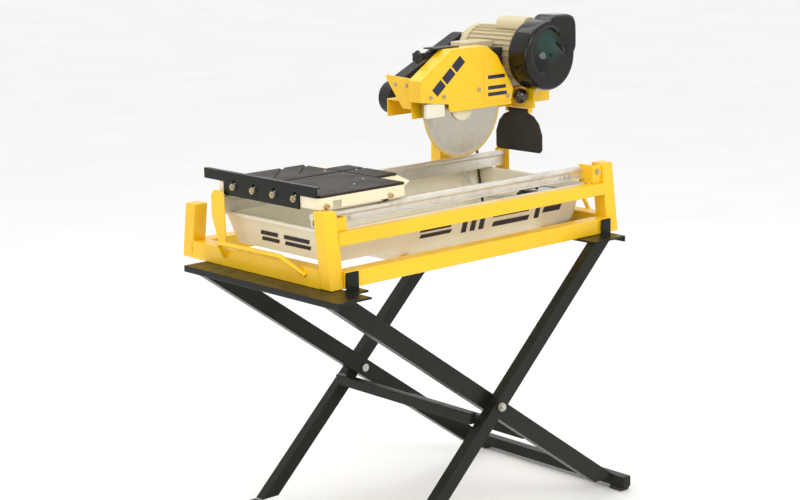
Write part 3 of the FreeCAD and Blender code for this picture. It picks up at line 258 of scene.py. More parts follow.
def mat_rubber():
    """The cart's ribbed rubber mat, worn pale along its ribs."""
    look = Shader("ribbed_mat", 0.55)
    ribs = ((look.y * 1570.0).sine()).spread(-0.4, 0.7)
    worn = look.clouds(14.0, 5.0, 0.7).spread(0.45, 0.75)
    base = look.blend(ribs * 0.6, (0.009, 0.006, 0.005), (0.042, 0.028, 0.022))
    base = look.blend(worn * 0.3, base, (0.13, 0.09, 0.065))
    look.feed(Base_Color=base, Roughness=worn * 0.25 + 0.42)
    return look.bumpy(ribs + look.clouds(600.0, 2.0) * 0.3, 0.0005, 0.6)


def blade_steel(centre):
    """A ground disc with a sintered diamond rim, told apart by the distance from the arbor."""
    look = Shader("diamond_blade", 0.3, 0.9)
    dx = look.x - centre.x
    dz = look.z - centre.z
    radius = (dx * dx + dz * dz) ** 0.5
    turning = (radius * 5200.0).sine().spread(-1.0, 1.0)
    stain = look.clouds(16.0, 6.0, 0.7).spread(0.48, 0.72)
    rim = radius > 0.1195
    disc = look.blend(turning * 0.25 + stain * 0.5, (0.56, 0.53, 0.45), (0.36, 0.33, 0.26))
    grit = look.cells(1500.0).spread(0.1, 0.6)
    sintered = look.blend(grit, (0.5, 0.36, 0.13), (0.75, 0.58, 0.25))
    look.feed(Base_Color=look.blend(rim, disc, sintered), Roughness=stain * 0.16 + rim * 0.2 + 0.26)
    return look.bumpy(turning * 0.3 + rim * grit, 0.00012, 0.35)


def shroud_plastic():
    """Glossy black with a painted green reflection in the dished part of the front."""
    look = Shader("glossy_black_shroud", 0.1, Coat_Weight=0.3, Coat_Roughness=0.05)
    dx = look.x - at(MOTOR_X, 0, 0).x
    dz = look.z - at(0, 0, MOTOR_Z).z
    painted_reflection_spot = ((dx * dx + (dz - 0.03) * (dz - 0.03)) ** 0.5).spread(0.05, 0.02)
    front = look.facing()[1].spread(-0.2, -0.8)
    tone = look.clouds(9.0, 4.0).spread(0.35, 0.7)
    base = look.blend(tone, (0.004, 0.005, 0.004), (0.012, 0.009, 0.006))
    # Painted reflection: a teal-green patch on the front-facing faces just above the dish centre.
    base = look.blend(painted_reflection_spot * front * 0.8, base, (0.012, 0.05, 0.036))
    look.feed(Base_Color=base, Roughness=tone * 0.06 + 0.09)
    return look.bumpy(look.clouds(300.0, 2.0), 0.00004, 0.3)


shroud = shroud_plastic()
ribbed = mat_rubber()
for deep in (black, dark, rubber, shroud, ribbed):
    deep.surface.inputs["Specular IOR Level"].default_value = 0.18
disc_steel = blade_steel(at(ARBOR_X, BLADE_Y, ARBOR_Z))


# ---------------------------------------------------------------- making pieces
def finished(obj, body, look, stands_for=()):
    obj.data.materials.clear()
    obj.data.materials.append(look.material)
    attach(obj, body)
    if stands_for:
        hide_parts(*stands_for)
    return obj


def mesh_object(name, verts, faces, smooth=True):
    mesh = bpy.data.meshes.new(name)
    mesh.from_pydata([tuple(v) for v in verts], [], faces)
    mesh.validate()
    if smooth:
        mesh.shade_smooth()
    obj = bpy.data.objects.new(name, mesh)
    bpy.context.scene.collection.objects.link(obj)
    return obj


def outward(obj):
    """Turn every face of a closed shape outwards."""
    shape = bmesh.new()
    shape.from_mesh(obj.data)
    bmesh.ops.recalc_face_normals(shape, faces=shape.faces)
    shape.to_mesh(obj.data)
    shape.free()


def ring_faces(rings, count):
    """The four-sided faces between rings of the same number of points."""
    faces = []
    for ring in range(rings - 1):
        for step in range(count):
            after = (step + 1) % count
            faces.append((ring * count + step, ring * count + after,
                          (ring + 1) * count + after, (ring + 1) * count + step))
    return faces


def baked(obj):
    """Apply every modifier and drop it."""
    depsgraph = bpy.context.evaluated_depsgraph_get()
    depsgraph.update()
    mesh = bpy.data.meshes.new_from_object(obj.evaluated_get(depsgraph))
    old = obj.data
    obj.modifiers.clear()
    obj.data = mesh
    bpy.data.meshes.remove(old)
    return obj


def rounded(obj, width, segments=2, angle=32):
    """Break the sharp edges with a small radius and keep the flats flat."""
    bevel = obj.modifiers.new("edge", "BEVEL")
    bevel.width = width
    bevel.segments = segments
    bevel.limit_method = "ANGLE"
    bevel.angle_limit = math.radians(angle)
    bevel.miter_outer = "MITER_ARC"
    weighted = obj.modifiers.new("flats", "WEIGHTED_NORMAL")
    weighted.keep_sharp = False
    weighted.weight = 80
    obj.data.shade_smooth()
    return baked(obj)


def clean_copy(name, node):
    """The node's own shape with its flat faces whole again, so that its edges can be broken."""
    mesh = bpy.data.meshes.new(name)
    shape = bmesh.new()
    shape.from_mesh(nodes[node].data)
    bmesh.ops.remove_doubles(shape, verts=shape.verts, dist=2e-5)
    bmesh.ops.dissolve_limit(shape, angle_limit=math.radians(0.6), verts=shape.verts,
                             edges=shape.edges)
    shape.to_mesh(mesh)
    shape.free()
    obj = bpy.data.objects.new(name, mesh)
    bpy.context.scene.collection.objects.link(obj)
    return obj


def crisp(node, width, look, segments=2, angle=32):
    obj = rounded(clean_copy(node + "_finished", node), width / 1000, segments, angle)
    body = nodes[node]["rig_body"]
    return finished(obj, body, look, [node])


def turned(name, profile, centre, axis="y", steps=64, wobble=None):
    """A profile of (radius, distance along the axis) pairs turned about the axis."""
    ahead = {"x": Vector((1, 0, 0)), "y": Vector((0, 1, 0)), "z": Vector((0, 0, 1))}[axis]
    up = Vector((0, 0, 1)) if axis != "z" else Vector((1, 0, 0))
    side = ahead.cross(up)
    verts = []
    for radius, along in profile:
        for step in range(steps):
            turn = 2 * math.pi * step / steps
            reach = radius * (wobble(turn, radius, along) if wobble else 1.0)
            offset = (up * math.cos(turn) + side * math.sin(turn)) * reach + ahead * along
            verts.append(centre + offset / 1000)
    faces = ring_faces(len(profile), steps)
    faces.append(tuple(range(steps)))
    faces.append(tuple(reversed(range((len(profile) - 1) * steps, len(profile) * steps))))
    obj = mesh_object(name, verts, faces)
    outward(obj)
    obj.data.shade_smooth()
    edge = obj.modifiers.new("creases", "EDGE_SPLIT")
    edge.split_angle = math.radians(38)
    return baked(obj)


def brick(name, low, painted_reflection_spot, width=1.0, segments=2):
    """A block between two corners in saw millimetres, with broken edges."""
    a, b = at(*low), at(*painted_reflection_spot)
    corners = [(x, y, z) for x in (a.x, b.x) for y in (a.y, b.y) for z in (a.z, b.z)]
    faces = [(0, 1, 3, 2), (4, 6, 7, 5), (0, 4, 5, 1), (2, 3, 7, 6), (0, 2, 6, 4), (1, 5, 7, 3)]
    return rounded(mesh_object(name, corners, faces), width / 1000, segments)


def slab(name, outline, plane, start, depth, width=0.8, segments=2):
    """An outline in saw millimetres, in the xz, yz or xy plane, given a thickness."""
    def point(a, b, c):
        return {"xz": at(a, c, b), "yz": at(c, a, b), "xy": at(a, b, c)}[plane]
    count = len(outline)
    verts = [point(a, b, start) for a, b in outline] + [point(a, b, start + depth) for a, b in outline]
    faces = [tuple(range(count)), tuple(reversed(range(count, 2 * count)))]
    faces += [(i, (i + 1) % count, count + (i + 1) % count, count + i) for i in range(count)]
    obj = mesh_object(name, verts, faces)
    outward(obj)
    return rounded(obj, width / 1000, segments)


def joined(name, pieces):
    """Several pieces made into one."""
    first = pieces[0]
    with bpy.context.temp_override(active_object=first, object=first, selected_objects=pieces,
                                   selected_editable_objects=pieces):
        bpy.ops.object.join()
    first.name = name
    first.data.name = name
    return first


def piped(name, route, radius, body, look, stands_for=()):
    """A round hose or rod along control points in saw millimetres."""
    curve = bpy.data.curves.new(name + "_line", "CURVE")
    curve.dimensions = "3D"
    curve.bevel_depth = radius / 1000
    curve.bevel_resolution = 5
    curve.resolution_u = 10
    curve.use_fill_caps = True
    line = curve.splines.new("NURBS")
    line.points.add(len(route) - 1)
    for spot, place in zip(line.points, route):
        spot.co = (*at(*place), 1.0)
    line.order_u = 3
    line.use_endpoint_u = True
    holder = bpy.data.objects.new(name + "_line", curve)
    bpy.context.scene.collection.objects.link(holder)
    bpy.context.view_layer.update()
    mesh = bpy.data.meshes.new_from_object(holder.evaluated_get(bpy.context.evaluated_depsgraph_get()))
    bpy.data.objects.remove(holder)
    mesh.name = name
    mesh.shade_smooth()
    obj = bpy.data.objects.new(name, mesh)
    bpy.context.scene.collection.objects.link(obj)
    if body is None:
        obj.data.materials.append(look.material)
        return obj
    return finished(obj, body, look, stands_for)


# ---------------------------------------------------------------- repeats with geometry nodes
def repeat_tree(name, look):
    """Copies one model on every point of a mesh, turned to the point's normal."""
    tree = bpy.data.node_groups.new(name, "GeometryNodeTree")
    face = tree.interface
    face.new_socket("Geometry", in_out="INPUT", socket_type="NodeSocketGeometry")
    model = face.new_socket("Model", in_out="INPUT", socket_type="NodeSocketObject")
    size = face.new_socket("Size", in_out="INPUT", socket_type="NodeSocketFloat")
    face.new_socket("Geometry", in_out="OUTPUT", socket_type="NodeSocketGeometry")
    make = tree.nodes.new
    link = tree.links.new
    enter, leave = make("NodeGroupInput"), make("NodeGroupOutput")
    info = make("GeometryNodeObjectInfo")
    turn = make("GeometryNodeInputNamedAttribute")
    turn.data_type = "FLOAT_VECTOR"
    turn.inputs["Name"].default_value = "ahead"
    align = make("FunctionNodeAlignRotationToVector")
    align.axis = "Z"
    spin = make("FunctionNodeRandomValue")
    spin.data_type = "FLOAT"
    spin.inputs["Seed"].default_value = 7
    spin.inputs[3].default_value = 6.28
    roll = make("FunctionNodeRotateRotation")
    roll.rotation_space = "LOCAL"
    euler = make("FunctionNodeEulerToRotation")
    combine = make("ShaderNodeCombineXYZ")
    place = make("GeometryNodeInstanceOnPoints")
    real = make("GeometryNodeRealizeInstances")
    paint = make("GeometryNodeSetMaterial")
    paint.inputs["Material"].default_value = look.material
    link(enter.outputs["Model"], info.inputs["Object"])
    link(turn.outputs["Attribute"], align.inputs["Vector"])
    link(spin.outputs[1], combine.inputs[2])
    link(combine.outputs[0], euler.inputs[0])
    link(align.outputs[0], roll.inputs[0])
    link(euler.outputs[0], roll.inputs[1])
    link(enter.outputs["Geometry"], place.inputs["Points"])
    link(info.outputs["Geometry"], place.inputs["Instance"])
    link(roll.outputs[0], place.inputs["Rotation"])
    link(enter.outputs["Size"], place.inputs["Scale"])
    link(place.outputs[0], real.inputs[0])
    link(real.outputs[0], paint.inputs["Geometry"])
    link(paint.outputs[0], leave.inputs[0])
    return tree, model.identifier, size.identifier


def repeated(name, model, spots, body, look, size=1.0):
    """A model copied to every (point, direction) spot and made into one piece."""
    mesh = bpy.data.meshes.new(name)
    mesh.from_pydata([tuple(at(*point)) for point, _ in spots], [], [])
    ahead = mesh.attributes.new("ahead", "FLOAT_VECTOR", "POINT")
    for item, (_, direction) in zip(ahead.data, spots):
        item.vector = direction
    obj = bpy.data.objects.new(name, mesh)
    bpy.context.scene.collection.objects.link(obj)
    tree, model_key, size_key = repeat_tree(name + "_copies", look)
    modifier = obj.modifiers.new("copies", "NODES")
    modifier.node_group = tree
    modifier[model_key] = model
    modifier[size_key] = size
    baked(obj)
    obj.data.name = name
    return finished(obj, body, look)


def ring_profile_model(name, profile, steps, corners=0, socket_radius=0.0):
    """A small fastener head standing on its own origin, +Z outwards; a model for repeats."""
    verts = []
    for radius, height in profile:
        for step in range(steps):
            turn = 2 * math.pi * step / steps
            flat = 1.0
            if corners and radius > socket_radius:
                part = (turn % (2 * math.pi / corners)) - math.pi / corners
                flat = math.cos(math.pi / corners) / math.cos(part)
            verts.append((radius * flat * math.cos(turn) / 1000,
                          radius * flat * math.sin(turn) / 1000, height / 1000))
    faces = ring_faces(len(profile), steps)
    faces.append(tuple(range((len(profile) - 1) * steps, len(profile) * steps)))
    obj = mesh_object(name, verts, faces)
    crease = obj.modifiers.new("creases", "EDGE_SPLIT")
    crease.split_angle = math.radians(35)
    baked(obj)
    return obj


socket_screw = ring_profile_model(
    "socket_screw_model", [(4.4, 0), (4.7, 0.4), (4.7, 3.2), (4.2, 3.9), (2.5, 3.9), (2.4, 1.6)], 24)
hex_bolt = ring_profile_model(
    "hex_bolt_model", [(8.2, 0), (8.2, 1.0), (5.9, 1.1), (5.95, 1.2), (5.95, 4.4), (5.2, 5.0),
                       (0.6, 5.1)], 48, 6)
dome_rivet = ring_profile_model(
    "dome_rivet_model", [(3.4, 0), (3.4, 0.4), (2.9, 1.2), (1.8, 1.8), (0.5, 2.0)], 20)
models = [socket_screw, hex_bolt, dome_rivet]

OUT_NEAR, OUT_FAR = (0, -1, 0), (0, 1, 0)
OUT_LEFT, OUT_UP = (-1, 0, 0), (0, 0, 1)

# ---------------------------------------------------------------- carried-over frame pieces
for node, width, look in (
        ("stand_left_top", 1.6, black), ("stand_right_top", 1.6, black),
        ("stand_legs_a", 3.2, black), ("stand_legs_b", 3.2, black),
        ("stand_bars_a", 2.6, black), ("stand_bars_b", 2.6, black),
        ("stand_feet_a", 3.0, rubber), ("stand_feet_b", 3.0, rubber), ("scissor_bolts", 0.8, zinc),
        ("base_rail_near", 2.6, yellow), ("base_rail_far", 2.6, yellow), ("end_beams", 2.6, yellow),
        ("post_near_left", 3.0, yellow), ("post_near_right", 3.0, yellow),
        ("post_far_left", 3.0, yellow), ("post_far_right", 3.0, yellow),
        ("upper_rail_near", 1.2, yellow), ("rail_brackets", 1.1, yellow),
        ("guide_rail_near", 0.7, aluminium), ("guide_rail_far", 0.7, aluminium),
        ("carry_handles", 0.5, yellow), ("head_column", 1.8, yellow), ("drain_plug", 1.2, dark),
        ("water_pump", 3.0, dark), ("cart_table", 1.1, casting), ("cart_mats", 1.0, ribbed),
        ("fence", 0.9, black), ("cart_fasteners", 0.8, zinc), ("head_arm", 1.2, yellow),
        ("blade_guard", 2.2, yellow), ("belt_guard", 4.0, dark), ("drive_belt", 0.8, rubber),
        ("bearing_housing", 1.2, yellow), ("capacitor_cover", 3.5, motor_paint),
        ("switch_box", 2.2, dark),
        ("spray_shoe", 3.0, cream), ("valve_body", 1.4, dark), ("pivot_pin", 1.0, zinc),
        ("flap_bracket", 0.8, yellow), ("switch_rocker", 1.2, dark), ("arbor_shaft", 0.8, zinc),
        ("arbor_pulley", 1.0, zinc), ("motor_rotor", 0.8, zinc), ("cooling_fan", 0.8, dark),
        ("frame_bolts", 0.6, zinc), ("splash_flap", 1.4, rubber)):
    crisp(node, width, look)

# ---------------------------------------------------------------- rollers
for node, x, y in (("roller_near_left", 31, 66), ("roller_near_right", 212, 66),
                   ("roller_far_left", 31, 394), ("roller_far_right", 212, 394)):
    rim = [(3.6, -6), (8, -6), (8.6, -5), (12.6, -5), (13.2, -6), (14, -5.4), (14, 5.4), (13.2, 6),
           (12.6, 5), (8.6, 5), (8, 6), (3.6, 6)]
    wheel = turned(node + "_finished", rim, at(x, y, ROLLER_Z), steps=56)
    finished(wheel, nodes[node]["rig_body"], dark, [node])

# ---------------------------------------------------------------- water pan
def rounded_ring(x0, x1, y0, y1, corner, z, shallow_z, per_corner=8):
    """A rounded rectangle that steps up to the shallow height over the pan's left part."""
    corners = ((x1 - corner, y1 - corner, 0), (x0 + corner, y1 - corner, 90),
               (x0 + corner, y0 + corner, 180), (x1 - corner, y0 + corner, 270))
    ring = []
    for number, (cx, cy, start) in enumerate(corners):
        for step in range(per_corner + 1):
            turn = math.radians(start + 90 * step / per_corner)
            ring.append((cx + corner * math.cos(turn), cy + corner * math.sin(turn)))
        if number == 0:
            ring += [(229, y1), (221, y1)]
        if number == 2:
            ring += [(221, y0), (229, y0)]
    return [at(x, y, max(z, shallow_z) if x < 225 else z) for x, y in ring]


def water_pan():
    """A vacuum-formed tub: a rolled lip, leaning walls, a shallow left floor and a deep right one."""
    inside = [(0, 112.5, 22), (0.4, 110, 22), (-0.4, 114, 22), (-0.2, 117.6, 22), (1.6, 119, 22),
              (9.5, 119, 26), (11.6, 117.8, 27), (12.8, 114, 28), (15, 104, 29), (30, 37, 32),
              (32.5, 31, 33), (37, 27.4, 34), (44, 26, 36)]
    outside = [(44, 22, 36), (35, 22.6, 34), (29.5, 26.5, 33), (26.8, 34, 32), (11.4, 104, 28),
               (8.8, 112, 26), (3.2, 112.5, 24)]
    rings = [rounded_ring(PAN_LEFT + d, PAN_RIGHT - d, PAN_NEAR + d * 0.82, PAN_FAR - d, corner, z,
                          floor)
             for profile, floor in ((inside, 46), (outside, 42)) for d, z, corner in profile]
    count = len(rings[0])
    verts = [spot for ring in rings for spot in ring]
    faces = []
    inner, last = len(inside) - 1, len(rings) - 1
    for ring in range(last):
        if ring == inner:
            continue
        for step in range(count):
            after = (step + 1) % count
            faces.append((ring * count + step, ring * count + after, (ring + 1) * count + after,
                          (ring + 1) * count + step))
    for first in (inner * count, (inner + 1) * count):
        deep = [*range(10), 30, *range(31, 40)]
        faces += [tuple(first + step for step in deep),
                  (first + 9, first + 10, first + 29, first + 30),
                  tuple(first + step for step in range(10, 30))]
    faces += [(last * count + s, last * count + (s + 1) % count, (s + 1) % count, s)
              for s in range(count)]
    obj = mesh_object("water_pan_finished", verts, faces)
    outward(obj)
    crease = obj.modifiers.new("creases", "EDGE_SPLIT")
    crease.split_angle = math.radians(40)
    baked(obj)
    return finished(obj, "saw_frame", cream, ["water_pan"])


water_pan()


def wall_mark(name, x0, x1, z0, z1, slant=5.0):
    """A plain dark bar on the pan's leaning near wall."""
    def y_at(z):
        return PAN_NEAR + 0.82 * (11.4 + (104 - z) * 15.4 / 70) - 0.5
    corners = [(x0, z0), (x1, z0), (x1 + slant, z1), (x0 + slant, z1)]
    verts = [at(x, y_at(z), z) for x, z in corners] + [at(x, y_at(z) + 0.4, z) for x, z in corners]
    faces = [(0, 1, 2, 3), (7, 6, 5, 4), (0, 4, 5, 1), (1, 5, 6, 2), (2, 6, 7, 3), (3, 7, 4, 0)]
    return mesh_object(name, verts, faces, False)


def end_mark(name, y0, y1, z0, z1, slant=-5.0):
    """The same on the pan's leaning left end."""
    def x_at(z):
        return PAN_LEFT + 11.4 + (104 - z) * 15.4 / 70 - 0.5
    corners = [(y0, z0), (y1, z0), (y1 + slant, z1), (y0 + slant, z1)]
    verts = [at(x_at(z), y, z) for y, z in corners] + [at(x_at(z) + 0.4, y, z) for y, z in corners]
    faces = [(0, 3, 2, 1), (4, 5, 6, 7), (0, 1, 5, 4), (1, 2, 6, 5), (2, 3, 7, 6), (3, 0, 4, 7)]
    return mesh_object(name, verts, faces, False)


SIDE_BARS = ((318, 96, 72, 82), (318, 96, 58, 67), (448, 16, 52, 86), (476, 16, 52, 86),
             (504, 16, 52, 86), (548, 120, 74, 86), (548, 120, 52, 64), (688, 16, 52, 86),
             (716, 60, 62, 76))
side_bars = [wall_mark("side_bar_%d" % n, x, x + w, z0, z1)
             for n, (x, w, z0, z1) in enumerate(SIDE_BARS)]
finished(joined("pan_side_bars", side_bars), "saw_frame", ink)
END_BARS = ((252, 62, 76, 86), (252, 62, 62, 71), (140, 90, 76, 86), (140, 90, 62, 71))
end_bars = [end_mark("end_bar_%d" % n, y, y + w, z0, z1)
            for n, (y, w, z0, z1) in enumerate(END_BARS)]
finished(joined("pan_end_bars", end_bars), "saw_frame", ink)

# ---------------------------------------------------------------- pump details
pump_ribs = [brick("pump_rib_%d" % n, (751 + n * 9, 109.6, 34), (755 + n * 9, 112.6, 86), 0.8)
             for n in range(9)]
finished(joined("pump_ribs", pump_ribs), "saw_frame", dark)
# Painted highlight: a pale slab on the dark pump lid stands in for the highlight on the lid's top.
finished(brick("pump_label", (766, 128, 100.6), (818, 162, 101.6), 0.5), "saw_frame", lid_highlight_grey)

# ---------------------------------------------------------------- hoses and lead
LOWER = [(800, 188, 70), (800, 232, 70), (803, 280, 64), (805, 328, 59), (802, 372, 64), (799, 408, 82),
         (806, 430, 114), (821, 443, 150), (825, 454, 188), (820, 458, 228), (812.5, 458, 267)]
UPPER = [(811.9, 458, 273), (804, 457, 304), (771, 446, 319), (735, 424, 322), (708, 394, 342),
         (686, 362, 378), (654, 326, 420), (622, 300, 436), (593, 300, 436)]
hose = piped("water_hose", LOWER + UPPER, 5, None, hose_plastic)
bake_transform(hose)
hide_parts("hose_lower", "hose_upper")
LEAD = [(780, 150, 101), (780, 150, 120.5), (766, 150, 134), (746.5, 150, 134), (732.5, 150, 120),
        (732.5, 152, 93), (735, 161, 66), (728, 178, 46), (724, 204, 35), (732, 242, 31.5),
        (750, 284, 31), (775, 326, 32), (802, 364, 38), (830, 396, 56), (845, 418, 86),
        (851, 431, 120), (857, 438, 146), (858, 441, 170), (858, 443, 196), (858, 457.5, 212),
        (858, 480, 212)]
piped("pump_lead_finished", LEAD, 3.5, "saw_frame", rubber, ["pump_lead"])
finished(brick("pump_socket_box", (838, 478, 198), (868, 504, 232), 2.4, 3), "saw_frame", dark)
CLIP = [(5.1, -3), (6.6, -3), (7.0, -2), (7.0, 2), (6.6, 3), (5.1, 3)]
clips = [turned("hose_clip_%d" % n, CLIP, at(*spot), axis, 32)
         for n, (spot, axis) in enumerate((((800, 203, 70), "y"), ((600, VALVE_Y, VALVE_Z), "x")))]
finished(clips[0], "saw_frame", zinc)
finished(clips[1], "head", zinc)

# ---------------------------------------------------------------- blade and flanges
blade_profile = [(8, -0.7), (112, -0.7), (117.5, -0.8), (119.5, -1.15), (126.6, -1.2), (127, -0.8),
                 (127, 0.8), (126.6, 1.2), (119.5, 1.15), (117.5, 0.8), (112, 0.7), (8, 0.7)]
finished(turned("blade_finished", blade_profile, at(ARBOR_X, BLADE_Y, ARBOR_Z), steps=160), "spindle",
         disc_steel, ["blade"])
near_profile = [(8, -7), (16, -7), (19, -6.2), (26, -5.8), (29, -5), (35, -4.2), (37, -3), (37, 0),
                (31, 0), (8, 0)]
near_flange = turned("near_flange", near_profile, at(ARBOR_X, BLADE_Y - 1.2, ARBOR_Z), steps=96)
far_flange = turned("far_flange", [(8, 7), (18, 7), (30, 5.6), (37, 3), (37, 0), (8, 0)],
                    at(ARBOR_X, BLADE_Y + 1.2, ARBOR_Z), steps=96)


def hex_out(turn, radius, along):
    part = (turn % (math.pi / 3)) - math.pi / 6
    return math.cos(math.pi / 6) / math.cos(part) if radius > 9 else 1.0


nut = turned("arbor_nut", [(8, -5), (11.5, -5), (12.6, -4.2), (12.6, -0.6), (11.8, 0), (8, 0)],
             at(ARBOR_X, BLADE_Y - 8.7, ARBOR_Z), steps=72, wobble=hex_out)
finished(joined("blade_flanges_finished", [near_flange, far_flange, nut]), "spindle", casting,
         ["blade_flanges"])

# ---------------------------------------------------------------- guard details
panel = slab("guard_panel", [(692, 318), (775, 318), (783, 342), (738, 414), (706, 436), (690, 420)],
             "xz", 239.4, 2.0, 1.6, 3)
finished(panel, "head", yellow)
hem = slab("guard_hem", [(575, 304), (784, 304), (784, 312), (575, 312)], "xz", 238.6, 3.0, 1.2, 3)
hem.name = hem.data.name = "guard_hems"
finished(hem, "head", yellow)
guard_bars = [slab("guard_bar_%d" % n,
                   [(x, z), (x + 17, z - 17), (x + 45, z + 6), (x + 28, z + 23)],
                   "xz", 240.6, 0.8, 0.3, 1)
              for n, (x, z) in enumerate(((521, 362), (553, 388), (585, 414)))]
guard_bars += [slab("panel_bar_%d" % n,
                    [(704, z), (768 - n * 3, z), (768 - n * 3, z + 9), (704, z + 9)],
                    "xz", 239.0, 0.7, 0.3, 1)
               for n, z in enumerate((330, 346, 372))]
finished(joined("guard_bars", guard_bars), "head", ink)
repeated("guard_screws", socket_screw,
         [((516, 240.8, 345), OUT_NEAR), ((558, 240.8, 344), OUT_NEAR),
          ((674, 240.8, 350), OUT_NEAR), ((770, 239.2, 326), OUT_NEAR)],
         "head", zinc)

# ---------------------------------------------------------------- motor
def motor():
    """Plain barrel between two end bells, with a foot and a terminal box."""
    centre = at(MOTOR_X, 0, MOTOR_Z)
    barrel = turned("motor_barrel", [(52, 240), (61.5, 240), (61.5, 440), (52, 440)], centre, steps=96)
    far_end = [(30, 418), (66, 418), (66.8, 420), (66.8, 434), (65, 440), (58, 445), (42, 447),
               (27, 449), (26, 452), (26, 481), (11, 481)]
    far_bell = turned("motor_far_bell", far_end, centre, steps=96)
    near_end = [(52, 236), (79, 236), (79.5, 237), (79.5, 239.6), (68, 241), (66.8, 256), (65, 259),
                (52, 259)]
    near_bell = turned("motor_near_bell", near_end, centre, steps=96)
    foot = brick("motor_foot", (802, 296, 335), (918, 406, 366), 3.0, 3)
    terminals = brick("terminal_box", (708, 320, 430), (802, 376, 456), 3.0, 3)
    return joined("motor_body_finished", [barrel, far_bell, near_bell, foot, terminals])


finished(motor(), "head", motor_paint, ["motor_body"])
fin = mesh_object("cooling_fin_model",
                  [(x / 1000, y / 1000, z / 1000)
                   for z, half in ((-4, 1.5), (5.0, 1.1), (5.8, 0.5))
                   for x, y in ((-half, -79), (half, -79), (half, 79), (-half, 79))],
                  [(0, 1, 5, 4), (1, 2, 6, 5), (2, 3, 7, 6), (3, 0, 4, 7), (4, 5, 9, 8), (5, 6, 10, 9),
                   (6, 7, 11, 10), (7, 4, 8, 11), (8, 9, 10, 11)], False)


def fin_ring():
    """Cooling fins round the barrel, copied by angle with geometry nodes."""
    tree = bpy.data.node_groups.new("fin_ring", "GeometryNodeTree")
    face = tree.interface
    face.new_socket("Geometry", in_out="INPUT", socket_type="NodeSocketGeometry")
    count = face.new_socket("Fins", in_out="INPUT", socket_type="NodeSocketInt")
    radius = face.new_socket("Radius", in_out="INPUT", socket_type="NodeSocketFloat")
    face.new_socket("Geometry", in_out="OUTPUT", socket_type="NodeSocketGeometry")
    make, link = tree.nodes.new, tree.links.new
    enter, leave = make("NodeGroupInput"), make("NodeGroupOutput")
    circle = make("GeometryNodeMeshCircle")
    stand = make("GeometryNodeTransform")
    stand.inputs["Rotation"].default_value = (math.radians(90), 0, 0)
    where = make("GeometryNodeInputPosition")
    align = make("FunctionNodeAlignRotationToVector")
    align.axis = "Z"
    info = make("GeometryNodeObjectInfo")
    info.inputs["Object"].default_value = fin
    place = make("GeometryNodeInstanceOnPoints")
    move = make("GeometryNodeTransform")
    move.inputs["Translation"].default_value = at(MOTOR_X, 338, MOTOR_Z)
    real = make("GeometryNodeRealizeInstances")
    paint = make("GeometryNodeSetMaterial")
    paint.inputs["Material"].default_value = motor_paint.material
    link(enter.outputs["Fins"], circle.inputs["Vertices"])
    link(enter.outputs["Radius"], circle.inputs["Radius"])
    link(circle.outputs[0], stand.inputs[0])
    link(stand.outputs[0], place.inputs["Points"])
    link(where.outputs[0], align.inputs["Vector"])
    link(align.outputs[0], place.inputs["Rotation"])
    link(info.outputs["Geometry"], place.inputs["Instance"])
    link(place.outputs[0], move.inputs[0])
    link(move.outputs[0], real.inputs[0])
    link(real.outputs[0], paint.inputs["Geometry"])
    link(paint.outputs[0], leave.inputs[0])
    obj = mesh_object("motor_fins", [(0, 0, 0)], [])
    modifier = obj.modifiers.new("fins", "NODES")
    modifier.node_group = tree
    modifier[count.identifier] = 30
    modifier[radius.identifier] = 0.0612
    baked(obj)
    return finished(obj, "head", motor_paint)


fin_ring()
repeated("motor_bell_screws", socket_screw,
         [((MOTOR_X + 59 * math.cos(a), 443.6, MOTOR_Z + 59 * math.sin(a)), OUT_FAR)
          for a in (math.radians(45 + 90 * n) for n in range(4))], "head", zinc)
repeated("motor_foot_bolts", hex_bolt,
         [((x, y, 366), OUT_UP) for x in (812, 908) for y in (306, 396)],
         "head", zinc, 0.8)


# ---------------------------------------------------------------- fan shroud
def fan_shroud():
    """A glossy volute, round below and squared at the top right, with a dished front."""
    centre = at(MOTOR_X, 0, MOTOR_Z)
    steps = 144

    def outer(turn):
        cx, cz = math.cos(turn), math.sin(turn)
        if cx > 0 and cz > 0:
            power = 9.0
            corner = ((cx / 92) ** power + (cz / 96) ** power) ** (-1 / power)
            share = min(1.0, math.sin(2 * turn) * 2.4)
            share = share * share * (3 - 2 * share)
            return 84 + (corner - 84) * share
        return 84.0

    def ease(value, low, painted_reflection_spot):
        share = max(0.0, min(1.0, (value - low) / (painted_reflection_spot - low)))
        return share * share * (3 - 2 * share)

    def front(x, z):
        """How far the front stands back at a place, in millimetres."""
        dish = ease(math.hypot(x + 4, z - 12), 62, 50)
        dome = ease(math.hypot(x - 18, z + 24), 62, 30)
        return 1.0 + 15.0 * dish * (1 - dome)

    rows = [(0.955, 240), (1.0, 240), (1.0, 233), (1.0, 222), (1.0, 208), (1.0, 196), (0.996, 188),
            (0.982, 182.5), (0.955, 179.4)]
    flat = [0.93, 0.9, 0.86, 0.82, 0.78, 0.74, 0.7, 0.66, 0.62, 0.58, 0.53, 0.48, 0.43, 0.38, 0.33,
            0.27, 0.21, 0.15, 0.09, 0.03]
    verts = []
    for share, y in rows + [(share, None) for share in flat]:
        for step in range(steps):
            turn = 2 * math.pi * step / steps
            reach = outer(turn) * share
            x, z = reach * math.cos(turn), reach * math.sin(turn)
            depth = y if y else 177.6 + front(x, z)
            verts.append(centre + Vector((x, depth, z)) / 1000)
    faces = []
    rings = len(rows) + len(flat)
    for ring in range(rings - 1):
        for step in range(steps):
            after = (step + 1) % steps
            faces.append((ring * steps + step, (ring + 1) * steps + step,
                          (ring + 1) * steps + after, ring * steps + after))
    faces.append(tuple(range((rings - 1) * steps, rings * steps)))
    obj = mesh_object("fan_cover_finished", verts, faces)
    wall = obj.modifiers.new("wall", "SOLIDIFY")
    wall.thickness = 0.0025
    wall.offset = -1
    smooth = obj.modifiers.new("smooth", "SUBSURF")
    smooth.levels = 1
    baked(obj)
    obj.data.shade_smooth()
    return finished(obj, "head", shroud, ["fan_cover"])


